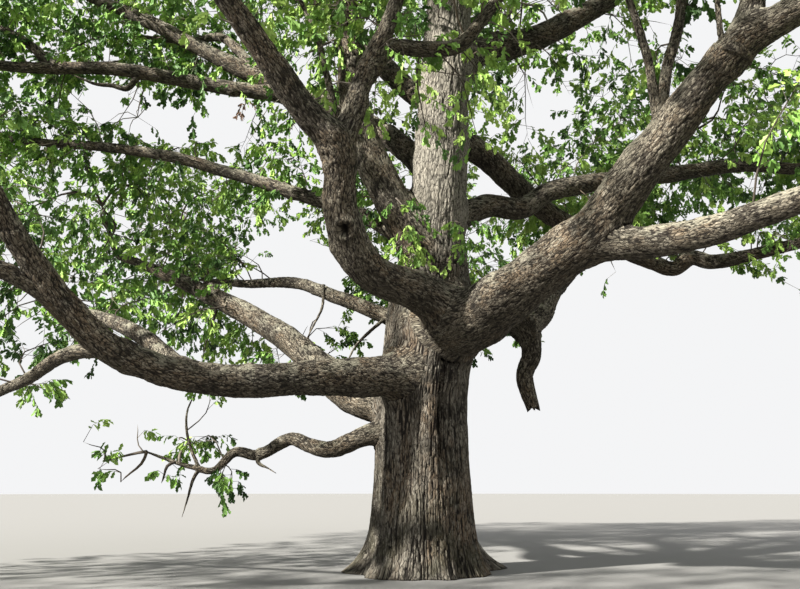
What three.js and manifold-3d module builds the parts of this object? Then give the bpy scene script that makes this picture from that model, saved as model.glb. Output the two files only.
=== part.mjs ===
// A very old oak that grew in the open, in its light spring leaf: a short thick trunk, long heavy boughs
// that leave it low down and bend as they go, and a wide crown of separate masses held at their ends.
//
// Millimetres. +Z is up, +X is to the right and +Y is the back of the tree. The origin lies in the flat cut
// under the trunk, at ground level.

import * as THREE from "three";
import { mergeVertices } from "three/addons/utils/BufferGeometryUtils.js";
import Module from "manifold-3d";

const wasm = await Module();
wasm.setup();

// Sizes that hold for the whole tree
const CUT_GAP = 0.45; // how far a limb's outline grows before it cuts the limbs that spring from it
const STEM_GAP = 0.35; // from a bough's flat end to the stem of its mass
const TRUNK_SIDES = 24;
const STEPS_PER_SPAN = 2; // rings of a limb between two of its bends
const TAPER_POWER = 1.6; // a bough keeps its girth for long and thins towards its tip
const COLLAR_RUN = 3.2; // length of the swelling at a limb's foot, in radii of its body
const MASS_SQUASH = 0.66; // height of a mass over its width
// Sides of a limb's section, by its body's radius
const LIMB_SIDES = [{ from: 280, sides: 7 }, { from: 180, sides: 6 }, { from: 0, sides: 5 }];
const PALE_BODY = 240; // limbs up to this radius have the paler bark
const MERGE_WITHIN = 1e-3; // vertices this near are one
const UPRIGHT = 0.2; // a tube whose start leans less than this takes its section's side from X

// The trunk's shaft: height, sideways lean, lean to the back, radius
const SHAFT = [
  [0, 0, 0, 935],
  [1300, -20, 0, 900],
  [3200, 0, 0, 850],
  [5100, 180, 0, 810],
  [6300, 250, 0, 580],
  [8400, 400, 20, 540],
  [12000, 640, 60, 465],
  [16000, 700, 120, 330],
  [19000, 620, 160, 210],
  [21500, 520, 200, 110],
];
const TRUNK_RINGS = [0, 160, 360, 620, 940, 1400, 2000, 2700, 3400, 4100, 4700, 5200, 5700, 6300, 7200,
  8400, 10000, 12000, 14000, 16000, 19000, 21500];
const FLARE_SPENT = 940; // height above which the trunk is taken as its bare shaft

// The root flare: toes that run out from the shaft and sink away with height
const FLARE_ROUND = 90; // the part of the flare that goes all the way round
const FLARE_FALL = 430; // height over which the flare drops to about a third
const TOES = [
  { bearing: 36, reach: 930, spread: 13 },
  { bearing: 75, reach: 420, spread: 20 },
  { bearing: 122, reach: 560, spread: 18 },
  { bearing: 168, reach: 600, spread: 20 },
  { bearing: 214, reach: 330, spread: 18 },
  { bearing: 252, reach: 130, spread: 15 },
  { bearing: 290, reach: 150, spread: 14 },
  { bearing: 326, reach: 210, spread: 15 },
  { bearing: 356, reach: 240, spread: 16 },
];

// Every limb by its bends, from inside its parent to its tip. collar is the swelling at its foot, body the
// radius behind that and tip the radius of its flat end.
const LIMBS = [
  {
    name: "left_low_arm", collar: 220, body: 300, tip: 75,
    bends: [[0, -300, 3680], [-1520, -1300, 3460], [-3380, -2400, 3220], [-4880, -3300, 3640],
      [-5870, -4200, 4860], [-6500, -5300, 6150], [-7700, -6200, 7500]],
  },
  {
    name: "left_low_arm_fork", collar: 40, body: 125, tip: 65,
    bends: [[-5380, -3650, 4080], [-6150, -4300, 4520], [-7360, -5300, 4800], [-8700, -5500, 4800],
      [-10200, -5200, 5250]],
  },
  {
    name: "left_low_arm_side", collar: 40, body: 115, tip: 60,
    bends: [[-4700, -3180, 3560], [-5500, -3000, 3580], [-6970, -1800, 3220], [-8170, -1000, 3050],
      [-9200, -700, 3200]],
  },
  {
    name: "left_low_arm_rear", collar: 40, body: 145, tip: 70,
    bends: [[-3950, -2700, 3340], [-4890, -2000, 4060], [-5890, -1000, 4500], [-7500, 200, 5190],
      [-8500, 900, 5700]],
  },
  {
    name: "front_right_arm", collar: 300, body: 430, tip: 95,
    bends: [[330, -250, 4560], [810, -1150, 4500], [1840, -2650, 5030], [2480, -3550, 5360],
      [3250, -4300, 6360], [4310, -5200, 7580], [4950, -5850, 7800], [6700, -7200, 8500]],
  },
  {
    name: "front_left_arm", collar: 150, body: 330, tip: 90,
    bends: [[640, -850, 4560], [-110, -1600, 4830], [-1050, -2350, 5080], [-1480, -3000, 5930],
      [-1490, -3350, 6800], [-2040, -3800, 7390], [-3030, -4750, 8560], [-4300, -6000, 9800]],
  },
  {
    name: "front_right_upright", collar: 60, body: 175, tip: 75,
    bends: [[4230, -5130, 7420], [4520, -5350, 8060], [4560, -5600, 8700], [4750, -6200, 9600],
      [4950, -6800, 10600]],
  },
  {
    name: "front_right_low_bough", collar: 50, body: 240, tip: 75,
    bends: [[2300, -3300, 5280], [3130, -3950, 5030], [4000, -4650, 5030], [5380, -5900, 5330],
      [6900, -6700, 5850]],
  },
  {
    name: "front_right_riser", collar: 50, body: 95, tip: 50,
    bends: [[3300, -4320, 6360], [3450, -4300, 7000], [3700, -4200, 7940], [4020, -4000, 8780],
      [4600, -3600, 10500]],
  },
  {
    name: "front_left_upright", collar: 60, body: 180, tip: 70,
    bends: [[-1500, -3350, 6740], [-1260, -3400, 7450], [-950, -3400, 8330], [-590, -3500, 9160],
      [-100, -4200, 10700]],
  },
  {
    name: "front_left_crook", collar: 30, body: 140, tip: 60,
    bends: [[-980, -3400, 8230], [-620, -3250, 8720], [-30, -3100, 8830], [560, -3000, 8980],
      [1060, -3000, 9560], [1810, -3300, 10620], [2200, -3600, 11300]],
  },
  {
    name: "left_tall_bough", collar: 100, body: 350, tip: 110,
    bends: [[170, -150, 5900], [-620, -400, 7060], [-1180, -350, 8200], [-1520, 0, 9740],
      [-1700, 300, 12200], [-2300, -300, 14000], [-2700, -1000, 15600]],
  },
  {
    name: "rear_left_bough", collar: 120, body: 330, tip: 110,
    bends: [[-100, 50, 2900], [-1270, 700, 3280], [-2630, 1700, 4440], [-4170, 2700, 5530],
      [-5650, 3600, 6370], [-7400, 4600, 7300]],
  },
  {
    name: "crooked_low_bough", collar: 110, body: 165, tip: 50,
    bends: [[-450, -150, 2640], [-1150, -100, 2450], [-1800, 100, 2210], [-2220, 300, 2290],
      [-2610, 450, 2440], [-3270, 700, 2180], [-3740, 850, 2240], [-4220, 1050, 1880],
      [-4700, 1200, 1950]],
  },
  {
    name: "rear_left_slim_bough", collar: 60, body: 160, tip: 70,
    bends: [[0, 300, 4560], [-1200, 1000, 5210], [-2780, 2300, 6070], [-4430, 3800, 6500],
      [-5400, 5100, 6900]],
  },
  {
    name: "middle_left_bough", collar: 70, body: 165, tip: 85,
    bends: [[150, 100, 6050], [-1110, 900, 7180], [-2900, 1500, 7990], [-4610, 2100, 8760],
      [-6900, 2700, 9590], [-9610, 3400, 10110], [-11300, 3900, 10500]],
  },
  {
    name: "upper_left_bough", collar: 60, body: 255, tip: 120,
    bends: [[400, 50, 7600], [-570, 1000, 8980], [-2000, 1800, 10150], [-4460, 2600, 11750],
      [-7100, 3000, 13350], [-10100, 3600, 15200]],
  },
  {
    name: "upper_left_fork", collar: 30, body: 190, tip: 105,
    bends: [[-2300, 1900, 10380], [-3150, 2250, 10780], [-5630, 2300, 11250], [-7300, 2150, 11480],
      [-10180, 2000, 11480], [-11700, 1800, 12000]],
  },
  {
    name: "upper_left_side", collar: 30, body: 130, tip: 75,
    bends: [[-3900, 2420, 11380], [-4700, 2900, 12500], [-5200, 3250, 13030], [-6160, 3800, 13300],
      [-7200, 4200, 13600]],
  },
  {
    name: "right_bough", collar: 60, body: 235, tip: 110,
    bends: [[300, 50, 6650], [1420, 500, 7290], [2120, 800, 7380], [2850, 1100, 7880],
      [5150, 2000, 8510], [7880, 2900, 9280], [9760, 3500, 9460], [11500, 4000, 9900]],
  },
  {
    name: "right_falling_bough", collar: 60, body: 270, tip: 65,
    bends: [[300, 50, 8750], [1290, 800, 8610], [2380, 1700, 8070], [3570, 2500, 7580],
      [5570, 2950, 6830], [6050, 2850, 6640], [6430, 2650, 6850], [6800, 2450, 6680],
      [8260, 1200, 6690], [9700, -100, 6900]],
  },
  {
    name: "upper_right_bough", collar: 70, body: 320, tip: 150,
    bends: [[550, 50, 10000], [1330, 600, 11060], [2820, 1200, 11770], [4610, 1900, 13240],
      [6900, 2500, 15300]],
  },
  {
    name: "broken_bough", collar: 60, body: 290, tip: 140,
    bends: [[300, 250, 4800], [1790, 1250, 5060], [2300, 1500, 4740], [2400, 1620, 4300],
      [2250, 1700, 3850], [2400, 1780, 3200]],
  },
  {
    name: "broken_bough_elbow", collar: 30, body: 310, tip: 110,
    bends: [[2120, 1380, 4860], [2640, 1850, 5280], [3000, 2500, 5900], [3870, 3500, 6960],
      [4990, 4600, 8390], [6700, 6000, 10300]],
  },
  {
    name: "back_right_bough", collar: 90, body: 260, tip: 110,
    bends: [[250, 150, 4700], [1500, 2400, 5700], [3200, 5200, 6900], [4700, 7600, 8300]],
  },
  {
    name: "back_bough", collar: 110, body: 300, tip: 110,
    bends: [[60, 100, 4300], [300, 2200, 5000], [-200, 5400, 6000], [500, 8900, 7300]],
  },
  {
    name: "back_left_bough", collar: 90, body: 280, tip: 115,
    bends: [[-50, 200, 3650], [-1500, 2300, 3950], [-2950, 4200, 4900], [-5400, 7000, 6650],
      [-6700, 8600, 8100]],
  },
  {
    name: "top_left_bough", collar: 50, body: 250, tip: 115,
    bends: [[450, 50, 9350], [-230, 1000, 10280], [-1690, 2000, 12470], [-3400, 2900, 14700],
      [-5300, 4200, 16800]],
  },
  {
    name: "top_back_bough", collar: 60, body: 220, tip: 100,
    bends: [[600, 50, 11200], [1000, 1600, 12300], [1900, 3300, 13600]],
  },
  {
    name: "top_front_bough", collar: 60, body: 230, tip: 100,
    bends: [[660, 80, 13000], [1100, -1100, 14700], [2100, -3200, 17000]],
  },
];

// A mass of foliage lies beyond the tip of its limb: out says how far its middle is from that tip, along X,
// Y and Z, and reach is its half width.
const MASSES = [
  { on: "left_low_arm", out: [-900, -2000, 1700], reach: 3900 },
  { on: "left_low_arm_fork", out: [-1900, 0, 900], reach: 3500 },
  { on: "left_low_arm_side", out: [-1400, 200, 700], reach: 2600 },
  { on: "left_low_arm_rear", out: [-1600, 900, 1000], reach: 3200 },
  { on: "front_right_arm", out: [1200, -1900, 1700], reach: 3900 },
  { on: "front_left_arm", out: [-2300, 200, 2300], reach: 4200 },
  { on: "front_right_upright", out: [1900, 400, 2200], reach: 4000 },
  { on: "front_right_low_bough", out: [2000, -500, 1000], reach: 3200 },
  { on: "front_left_upright", out: [-300, -2200, 2500], reach: 4000 },
  { on: "front_left_crook", out: [1500, 300, 2400], reach: 4000 },
  { on: "left_tall_bough", out: [-1500, -1400, 2200], reach: 4800 },
  { on: "rear_left_bough", out: [-1400, 900, 1900], reach: 3300 },
  { on: "crooked_low_bough", out: [-1000, 200, 300], reach: 1500 },
  { on: "rear_left_slim_bough", out: [-900, 1500, 100], reach: 2600 },
  { on: "middle_left_bough", out: [-1500, 600, 200], reach: 3500 },
  { on: "upper_left_bough", out: [-600, 900, 1700], reach: 4100 },
  { on: "upper_left_fork", out: [-900, -1700, 900], reach: 3800 },
  { on: "upper_left_side", out: [-1300, 1500, 300], reach: 3700 },
  { on: "right_bough", out: [1100, 400, 900], reach: 3900 },
  { on: "right_falling_bough", out: [1900, -1000, 1200], reach: 3800 },
  { on: "upper_right_bough", out: [1900, -1300, 1800], reach: 4700 },
  { on: "broken_bough_elbow", out: [1900, 1200, 2300], reach: 4400 },
  { on: "back_right_bough", out: [900, 1700, 2000], reach: 4000 },
  { on: "back_bough", out: [-200, 1900, 2700], reach: 4400 },
  { on: "back_left_bough", out: [-1300, 1700, 2200], reach: 4000 },
  { on: "top_left_bough", out: [-300, 1500, 2400], reach: 4700 },
  { on: "top_back_bough", out: [1500, 3200, 3000], reach: 4700 },
  { on: "top_front_bough", out: [1200, -1700, 1200], reach: 4600 },
  { on: "trunk", out: [-200, 100, 500], reach: 4700 },
];

// How a mass grows from its stem: branches first, then twigs from them, each with a blade at its end
const SPRAY = { length: 1900, width: 1150, thick: 110 }; // each leaf blade stands for a spray of leaves
const SPRAY_FULL = 2900; // the reach of mass from which blades have their full size
const SPRAY_ROOT = 0.3; // the share of a blade that its twig runs into
const SPRAY_BELLY = 0.45; // where along its length a blade is widest
const SPRAY_ROLL = 1.1; // how far a blade may turn round its own length, in radians either way
const SPRAY_DROOP = 0.2; // how far a blade's tip hangs, in lengths of the blade
const STEM_SHARE = 0.8; // the stem's first radius in radii of its bough's end
const STEM_TIP = 55; // its radius at the middle of the mass
const STEM_STRAIGHT = 0.3; // the share of its way for which a stem runs straight on from its bough
const STEM_FOOT_SPOTS = 2; // places along that stretch where branches leave
const STEM_SPOTS = 3; // and along the rest of the stem, where twigs leave too
const TWIG_SHARES = [0.4, 0.6]; // shares of a branch where twigs leave it
const TWIG_SIDES = 3;
const ORDERS = [
  { count: 5, nearest: 0.42, furthest: 0.72, shortest: 900, root: 50 },
  { count: 6, nearest: 0.4, furthest: 0.8, shortest: 800, root: 10 },
];
const TRIES = 12; // places tried for every twig that is wanted
const SPACE_MARGIN = 25; // kept free inside the face between two masses
const LIMB_CLEARANCE = 60; // kept free round every limb
const LIMB_SEARCH = 4000; // limbs that pass a mass this near are looked at
const PATH_SPOTS = 6; // points of a twig that are tried against the limbs
const EDGE_SPOTS = 3; // and points across and along its blade
const EVEN_BASE = 1.2207440846; // root of x^4 = x + 1, which spreads points evenly in three directions
const GOLDEN = (3 - Math.sqrt(5)) / 2; // the same for one direction

// Solids and meshes
function toSolid(geometry) {
  const bare = geometry.clone();
  bare.deleteAttribute("normal");
  bare.deleteAttribute("uv");
  const merged = mergeVertices(bare, MERGE_WITHIN);
  return new wasm.Manifold(new wasm.Mesh({
    numProp: 3,
    vertProperties: new Float32Array(merged.attributes.position.array),
    triVerts: new Uint32Array(merged.index.array),
  }));
}

function largestBody(solid) {
  const bodies = solid.decompose();
  bodies.sort((a, b) => b.volume() - a.volume());
  return bodies[0];
}

function toGeometry(solid) {
  const mesh = solid.getMesh();
  const geometry = new THREE.BufferGeometry();
  geometry.setAttribute("position", new THREE.BufferAttribute(new Float32Array(mesh.vertProperties), 3));
  geometry.setIndex(new THREE.BufferAttribute(new Uint32Array(mesh.triVerts), 1));
  geometry.computeVertexNormals();
  return geometry;
}

// The trunk
function shaftAt(height) {
  let upper = 1;
  while (upper < SHAFT.length - 1 && SHAFT[upper][0] < height) upper += 1;
  const low = SHAFT[upper - 1];
  const high = SHAFT[upper];
  const share = THREE.MathUtils.clamp((height - low[0]) / (high[0] - low[0]), 0, 1);
  const [x, y, radius] = [1, 2, 3].map((k) => THREE.MathUtils.lerp(low[k], high[k], share));
  return { x, y, radius };
}

function flareAt(bearing, height) {
  let reach = FLARE_ROUND;
  for (const toe of TOES) {
    const turn = THREE.MathUtils.euclideanModulo(bearing - toe.bearing + 180, 360) - 180;
    reach += toe.reach * Math.exp(-((turn / toe.spread) ** 2));
  }
  return reach * Math.exp(-height / FLARE_FALL);
}

// A lathe of radius 1 gives the rings, which are then moved out to the shaft and its flare
function trunkGeometry(grow = 0) {
  const top = TRUNK_RINGS[TRUNK_RINGS.length - 1];
  const profile = TRUNK_RINGS.map((height) => new THREE.Vector2(1, height));
  profile.unshift(new THREE.Vector2(0, 0));
  profile.push(new THREE.Vector2(0, top));
  const geometry = new THREE.LatheGeometry(profile, TRUNK_SIDES);
  geometry.rotateX(Math.PI / 2);
  const spots = geometry.attributes.position;
  for (let i = 0; i < spots.count; i += 1) {
    const height = spots.getZ(i);
    const shaft = shaftAt(height);
    const lathed = Math.round(Math.hypot(spots.getX(i), spots.getY(i)));
    const angle = Math.atan2(spots.getY(i), spots.getX(i));
    const radius = lathed * (shaft.radius + flareAt(THREE.MathUtils.radToDeg(angle), height) + grow);
    const x = shaft.x + radius * Math.cos(angle);
    const y = shaft.y + radius * Math.sin(angle);
    spots.setXYZ(i, x, y, height === top ? height + grow : height);
  }
  return geometry;
}

// Limbs
function limbLine(limb) {
  const bends = limb.bends.map((bend) => new THREE.Vector3(...bend));
  const curve = new THREE.CatmullRomCurve3(bends, false, "centripetal");
  const spots = curve.getPoints((bends.length - 1) * STEPS_PER_SPAN);
  const runs = [0];
  for (let i = 1; i < spots.length; i += 1) {
    runs.push(runs[i - 1] + spots[i].distanceTo(spots[i - 1]));
  }
  const whole = runs[runs.length - 1];
  const radii = runs.map((run) => limb.tip + (limb.body - limb.tip) * (1 - (run / whole) ** TAPER_POWER)
    + limb.collar * Math.exp(-run / (COLLAR_RUN * limb.body)));
  return { spots, radii };
}

function tangentsOf(spots) {
  return spots.map((spot, i) => {
    const before = spots[Math.max(i - 1, 0)];
    const after = spots[Math.min(i + 1, spots.length - 1)];
    return after.clone().sub(before).normalize();
  });
}

// A closed tube through rings of given radii, whose last ring is a point where that radius is 0. Its
// section is carried along without twist.
function tubeGeometry(spots, radii, sides) {
  const tangents = tangentsOf(spots);
  const across = new THREE.Vector3(0, 0, 1).cross(tangents[0]);
  if (across.length() < UPRIGHT) across.set(1, 0, 0);
  const pointed = radii[radii.length - 1] === 0;
  const rings = pointed ? spots.length - 1 : spots.length;
  const points = [];
  for (let i = 0; i < rings; i += 1) {
    across.addScaledVector(tangents[i], -across.dot(tangents[i])).normalize();
    const up = tangents[i].clone().cross(across);
    for (let k = 0; k < sides; k += 1) {
      const angle = (2 * Math.PI * k) / sides;
      points.push(spots[i].clone().addScaledVector(across, radii[i] * Math.cos(angle))
        .addScaledVector(up, radii[i] * Math.sin(angle)));
    }
  }
  const faces = [];
  const last = (rings - 1) * sides;
  for (let k = 1; k < sides - 1; k += 1) {
    faces.push(0, k + 1, k);
    if (!pointed) faces.push(last, last + k, last + k + 1);
  }
  if (pointed) points.push(spots[spots.length - 1].clone());
  for (let k = 0; k < sides; k += 1) {
    const next = (k + 1) % sides;
    if (pointed) faces.push(points.length - 1, last + k, last + next);
    for (let i = 0; i < rings - 1; i += 1) {
      const here = i * sides;
      faces.push(here + k, here + next, here + sides + next);
      faces.push(here + k, here + sides + next, here + sides + k);
    }
  }
  const geometry = new THREE.BufferGeometry().setFromPoints(points);
  geometry.setIndex(faces);
  return geometry;
}

function limbSolid(limb, line, grow = 0) {
  const spots = line.spots.map((spot) => spot.clone());
  if (grow > 0) {
    const tangents = tangentsOf(spots);
    spots[spots.length - 1].addScaledVector(tangents[tangents.length - 1], grow);
  }
  const { sides } = LIMB_SIDES.find((row) => limb.body >= row.from);
  return toSolid(tubeGeometry(spots, line.radii.map((radius) => radius + grow), sides));
}

// Spaces of the masses. Heights are stretched so that a mass is a ball, and the face between two masses is
// the plane from which both balls look the same size.
function stretched(spot) {
  return new THREE.Vector3(spot.x, spot.y, spot.z / MASS_SQUASH);
}

function inSpace(spot, mass, masses) {
  const here = stretched(spot);
  const own = here.distanceToSquared(mass.middleStretched) - mass.reach ** 2;
  if (own > -2 * SPACE_MARGIN * mass.reach) return false;
  return masses.every((other) => {
    if (other === mass) return true;
    const theirs = here.distanceToSquared(other.middleStretched) - other.reach ** 2;
    const apart = mass.middleStretched.distanceTo(other.middleStretched);
    return theirs - own > 2 * SPACE_MARGIN * apart;
  });
}

function clearOfLimbs(spots, width, tubes) {
  return tubes.every((tube) => spots.every((spot) => {
    for (let i = 0; i < tube.spots.length - 1; i += 1) {
      const line = new THREE.Line3(tube.spots[i], tube.spots[i + 1]);
      const share = line.closestPointToPointParameter(spot, true);
      const radius = THREE.MathUtils.lerp(tube.radii[i], tube.radii[i + 1], share);
      const near = line.at(share, new THREE.Vector3());
      if (near.distanceTo(spot) < radius + width + LIMB_CLEARANCE) return false;
    }
    return true;
  }));
}

function between(from, to, count) {
  return Array.from({ length: count }, (_, i) => from.clone().lerp(to, (i + 1) / count));
}

// The k-th place of an even, seeded spread through a mass, between two shares of its reach
function spreadPlace(mass, k, { nearest, furthest }) {
  const share = [1, 2, 3].map((power) => (mass.seed * power + k / EVEN_BASE ** power) % 1);
  const out = mass.reach * THREE.MathUtils.lerp(nearest, furthest, Math.cbrt(share[0]));
  const rise = 1 - 2 * share[1];
  const level = Math.sqrt(1 - rise * rise);
  const turn = 2 * Math.PI * share[2];
  return new THREE.Vector3(level * Math.cos(turn), level * Math.sin(turn), rise * MASS_SQUASH)
    .multiplyScalar(out).add(mass.middle);
}

function nearestSpot(place, spots) {
  return spots.reduce((best, spot) => (spot.distanceTo(place) < best.distanceTo(place) ? spot : best));
}

// A flat leaf blade in line with its twig, with a hanging tip
function sprayBlade(place, way, roll, scale) {
  const across = new THREE.Vector3(0, 0, 1).cross(way).normalize().applyAxisAngle(way, roll);
  const up = way.clone().cross(across);
  const length = SPRAY.length * scale;
  const root = place.clone().addScaledVector(way, -SPRAY_ROOT * length);
  const belly = root.clone().addScaledVector(way, SPRAY_BELLY * length);
  const tip = root.clone().addScaledVector(way, length);
  tip.z -= SPRAY_DROOP * length;
  const points = [
    root,
    tip,
    belly.clone().addScaledVector(across, (SPRAY.width / 2) * scale),
    belly.clone().addScaledVector(across, (-SPRAY.width / 2) * scale),
    belly.clone().addScaledVector(up, (SPRAY.thick / 2) * scale),
    belly.clone().addScaledVector(up, (-SPRAY.thick / 2) * scale),
  ];
  const geometry = new THREE.BufferGeometry().setFromPoints(points);
  geometry.setIndex([0, 4, 2, 0, 3, 4, 0, 5, 3, 0, 2, 5, 1, 2, 4, 1, 4, 3, 1, 3, 5, 1, 5, 2]);
  return { geometry, points };
}

function growMass(mass, masses, tubes) {
  const within = mass.reach + LIMB_SEARCH;
  const near = tubes.filter((tube) => tube.spots.some((spot) => spot.distanceTo(mass.middle) < within));
  const start = mass.tip.clone().addScaledVector(mass.way, STEM_GAP);
  const leave = start.clone().addScaledVector(mass.way, STEM_STRAIGHT * start.distanceTo(mass.middle));
  const stemRadius = STEM_SHARE * mass.tipRadius;
  const stemRadii = [stemRadius, (stemRadius + STEM_TIP) / 2, STEM_TIP];
  let wood = toSolid(tubeGeometry([start, leave, mass.middle], stemRadii, TWIG_SIDES));
  const scale = Math.min(1, mass.reach / SPRAY_FULL);
  let blades = null;
  const stemSpots = between(leave, mass.middle, STEM_SPOTS);
  let hosts = [...between(start, leave, STEM_FOOT_SPOTS), ...stemSpots];
  let tried = 0;
  for (const order of ORDERS) {
    const grownSpots = [];
    const limit = tried + order.count * TRIES;
    let grown = 0;
    while (grown < order.count && tried < limit) {
      const place = spreadPlace(mass, tried, order);
      tried += 1;
      const root = nearestSpot(place, hosts);
      const way = place.clone().sub(root);
      if (way.length() < order.shortest * scale) continue;
      way.normalize();
      const roll = SPRAY_ROLL * (2 * ((mass.seed + tried * GOLDEN) % 1) - 1);
      const blade = sprayBlade(place, way, roll, scale);
      const [, tip, left, right] = blade.points;
      const path = [...between(root, place, PATH_SPOTS), ...blade.points,
        ...between(left, right, EDGE_SPOTS), ...between(place, tip, EDGE_SPOTS)];
      const inside = [place, ...blade.points].every((spot) => inSpace(spot, mass, masses));
      if (!inside || !clearOfLimbs(path, order.root, near)) continue;
      const twig = toSolid(tubeGeometry([root, place], [order.root, 0], TWIG_SIDES));
      const leaf = toSolid(blade.geometry);
      const crossed = blades !== null && !blades.intersect(twig.add(leaf)).isEmpty();
      if (crossed || !wood.intersect(leaf).isEmpty()) continue;
      wood = wood.add(twig);
      blades = blades === null ? leaf : blades.add(leaf);
      grownSpots.push(...TWIG_SHARES.map((share) => root.clone().lerp(place, share)));
      grown += 1;
    }
    hosts = [...stemSpots, ...grownSpots];
  }
  return largestBody(wood.add(blades));
}

// Put the tree together
const bark = new THREE.MeshStandardMaterial({ color: 0x6b6154, roughness: 0.95, metalness: 0 });
const paleBark = new THREE.MeshStandardMaterial({ color: 0x857b6c, roughness: 0.95, metalness: 0 });
const foliage = new THREE.MeshStandardMaterial({ color: 0x6f9a34, roughness: 0.7, metalness: 0 });

const tree = new THREE.Group();

function addNode(name, solid, material) {
  const mesh = new THREE.Mesh(toGeometry(solid), material);
  mesh.name = name;
  tree.add(mesh);
}

addNode("trunk", toSolid(trunkGeometry()), bark);

const trunkTube = { name: "trunk" };
trunkTube.spots = TRUNK_RINGS.filter((height) => height >= FLARE_SPENT).map((height) => {
  const shaft = shaftAt(height);
  return new THREE.Vector3(shaft.x, shaft.y, height);
});
trunkTube.radii = trunkTube.spots.map((spot) => shaftAt(spot.z).radius);

const tubes = [trunkTube];
const cutters = [toSolid(trunkGeometry(CUT_GAP))];
for (const limb of LIMBS) {
  const line = limbLine(limb);
  let solid = limbSolid(limb, line);
  for (const cutter of cutters) solid = solid.subtract(cutter);
  cutters.push(limbSolid(limb, line, CUT_GAP));
  tubes.push({ name: limb.name, ...line });
  addNode(limb.name, largestBody(solid), limb.body > PALE_BODY ? bark : paleBark);
}

const masses = MASSES.map((entry, index) => {
  const limb = tubes.find((tube) => tube.name === entry.on);
  const count = limb.spots.length;
  const tip = limb.spots[count - 1].clone();
  const way = tip.clone().sub(limb.spots[count - 2]).normalize();
  const middle = tip.clone().add(new THREE.Vector3(...entry.out));
  return {
    name: `foliage_${entry.on}`,
    tip,
    way: entry.on === "trunk" ? new THREE.Vector3(0, 0, 1) : way,
    tipRadius: limb.radii[count - 1],
    middle,
    middleStretched: stretched(middle),
    reach: entry.reach,
    seed: (index + 1) * GOLDEN,
  };
});
for (const mass of masses) addNode(mass.name, growMass(mass, masses, tubes), foliage);

export default tree;
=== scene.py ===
"""An old open-grown oak in its light spring leaf.

Bark, twigs and leaves over the plain solids of the frame. Metres, +Z up, +X to the right and +Y to the
back of the tree, with the origin in the flat cut under the trunk.
"""
import logging
import math
from collections.abc import Callable, Iterator, Sequence
from dataclasses import dataclass, field
from enum import Enum

import bpy
import numpy as np
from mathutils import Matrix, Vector


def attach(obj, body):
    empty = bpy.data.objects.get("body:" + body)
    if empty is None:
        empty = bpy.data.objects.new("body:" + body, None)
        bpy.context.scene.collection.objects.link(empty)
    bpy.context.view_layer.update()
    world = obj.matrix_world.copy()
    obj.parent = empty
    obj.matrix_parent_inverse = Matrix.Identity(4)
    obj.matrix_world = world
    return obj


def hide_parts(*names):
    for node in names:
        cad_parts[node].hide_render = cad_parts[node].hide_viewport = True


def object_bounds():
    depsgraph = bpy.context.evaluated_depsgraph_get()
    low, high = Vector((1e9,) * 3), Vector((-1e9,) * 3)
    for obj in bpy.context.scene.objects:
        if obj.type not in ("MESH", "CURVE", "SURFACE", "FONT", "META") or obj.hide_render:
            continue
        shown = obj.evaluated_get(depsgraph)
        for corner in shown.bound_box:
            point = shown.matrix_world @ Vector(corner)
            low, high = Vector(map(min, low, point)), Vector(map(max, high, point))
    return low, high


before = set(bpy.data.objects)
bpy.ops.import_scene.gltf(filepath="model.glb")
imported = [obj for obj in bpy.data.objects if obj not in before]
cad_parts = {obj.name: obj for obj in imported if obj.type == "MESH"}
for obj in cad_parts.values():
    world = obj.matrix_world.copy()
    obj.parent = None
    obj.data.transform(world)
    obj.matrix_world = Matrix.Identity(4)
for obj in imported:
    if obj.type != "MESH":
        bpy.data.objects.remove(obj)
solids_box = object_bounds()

Spot = tuple[float, float, float]
Colour = tuple[float, float, float]
Array = np.ndarray
Socket = bpy.types.NodeSocket

GOLDEN = (3 - math.sqrt(5)) / 2
EVEN_BASE = 1.2207440846
FAR = 9.0
STEEP = 0.9
UP = np.array([0.0, 0.0, 1.0])
SIDEWAYS = np.array([1.0, 0.0, 0.0])
BODY = "root"
log = logging.getLogger("oak")

# Ways from the middle of a cube to the middles of its edges
EDGE_WAYS = np.array([(x, y, z) for x in (-1, 0, 1) for y in (-1, 0, 1) for z in (-1, 0, 1)
                      if abs(x) + abs(y) + abs(z) == 2]) / math.sqrt(2)
LAST_WAY = len(EDGE_WAYS) - 0.001
GRAIN_GAIN = 1.6


def unit(vectors: Array) -> Array:
    """Scale vectors to a length of one.

    Args:
        vectors: Vectors along the last axis.

    Returns:
        The same directions, each of length one.
    """
    return vectors / np.maximum(np.linalg.norm(vectors, axis=-1, keepdims=True), 1e-9)


def ease(low: float, high: float, values: Array | float) -> Array:
    """Rise smoothly from 0 at low to 1 at high.

    Args:
        low: Where the rise begins.
        high: Where it ends.
        values: Numbers to look at.

    Returns:
        A share from 0 to 1 for each number.
    """
    share = np.clip((np.asarray(values) - low) / (high - low), 0, 1)
    return share * share * (3 - 2 * share)


def scatter(seed: int, *keys: Array | int) -> Array:
    """Give one even number from 0 to 1 for each set of whole-number keys.

    Args:
        seed: Picks the series.
        *keys: Whole numbers, or arrays of them that broadcast together.

    Returns:
        The numbers, in the shape of the keys.
    """
    arrays = np.broadcast_arrays(*[np.atleast_1d(np.asarray(key)).astype(np.int64) for key in keys])
    mixed = np.full(arrays[0].shape, (seed * 2654435761 + 97) & 0xFFFFFFFF, dtype=np.uint32)
    for array in arrays:
        mixed ^= (array & 0xFFFFFFFF).astype(np.uint32)
        mixed *= np.uint32(0x85EBCA6B)
        mixed ^= mixed >> np.uint32(13)
        mixed *= np.uint32(0xC2B2AE35)
        mixed ^= mixed >> np.uint32(16)
    return mixed.astype(np.float64) / 0xFFFFFFFF


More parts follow.
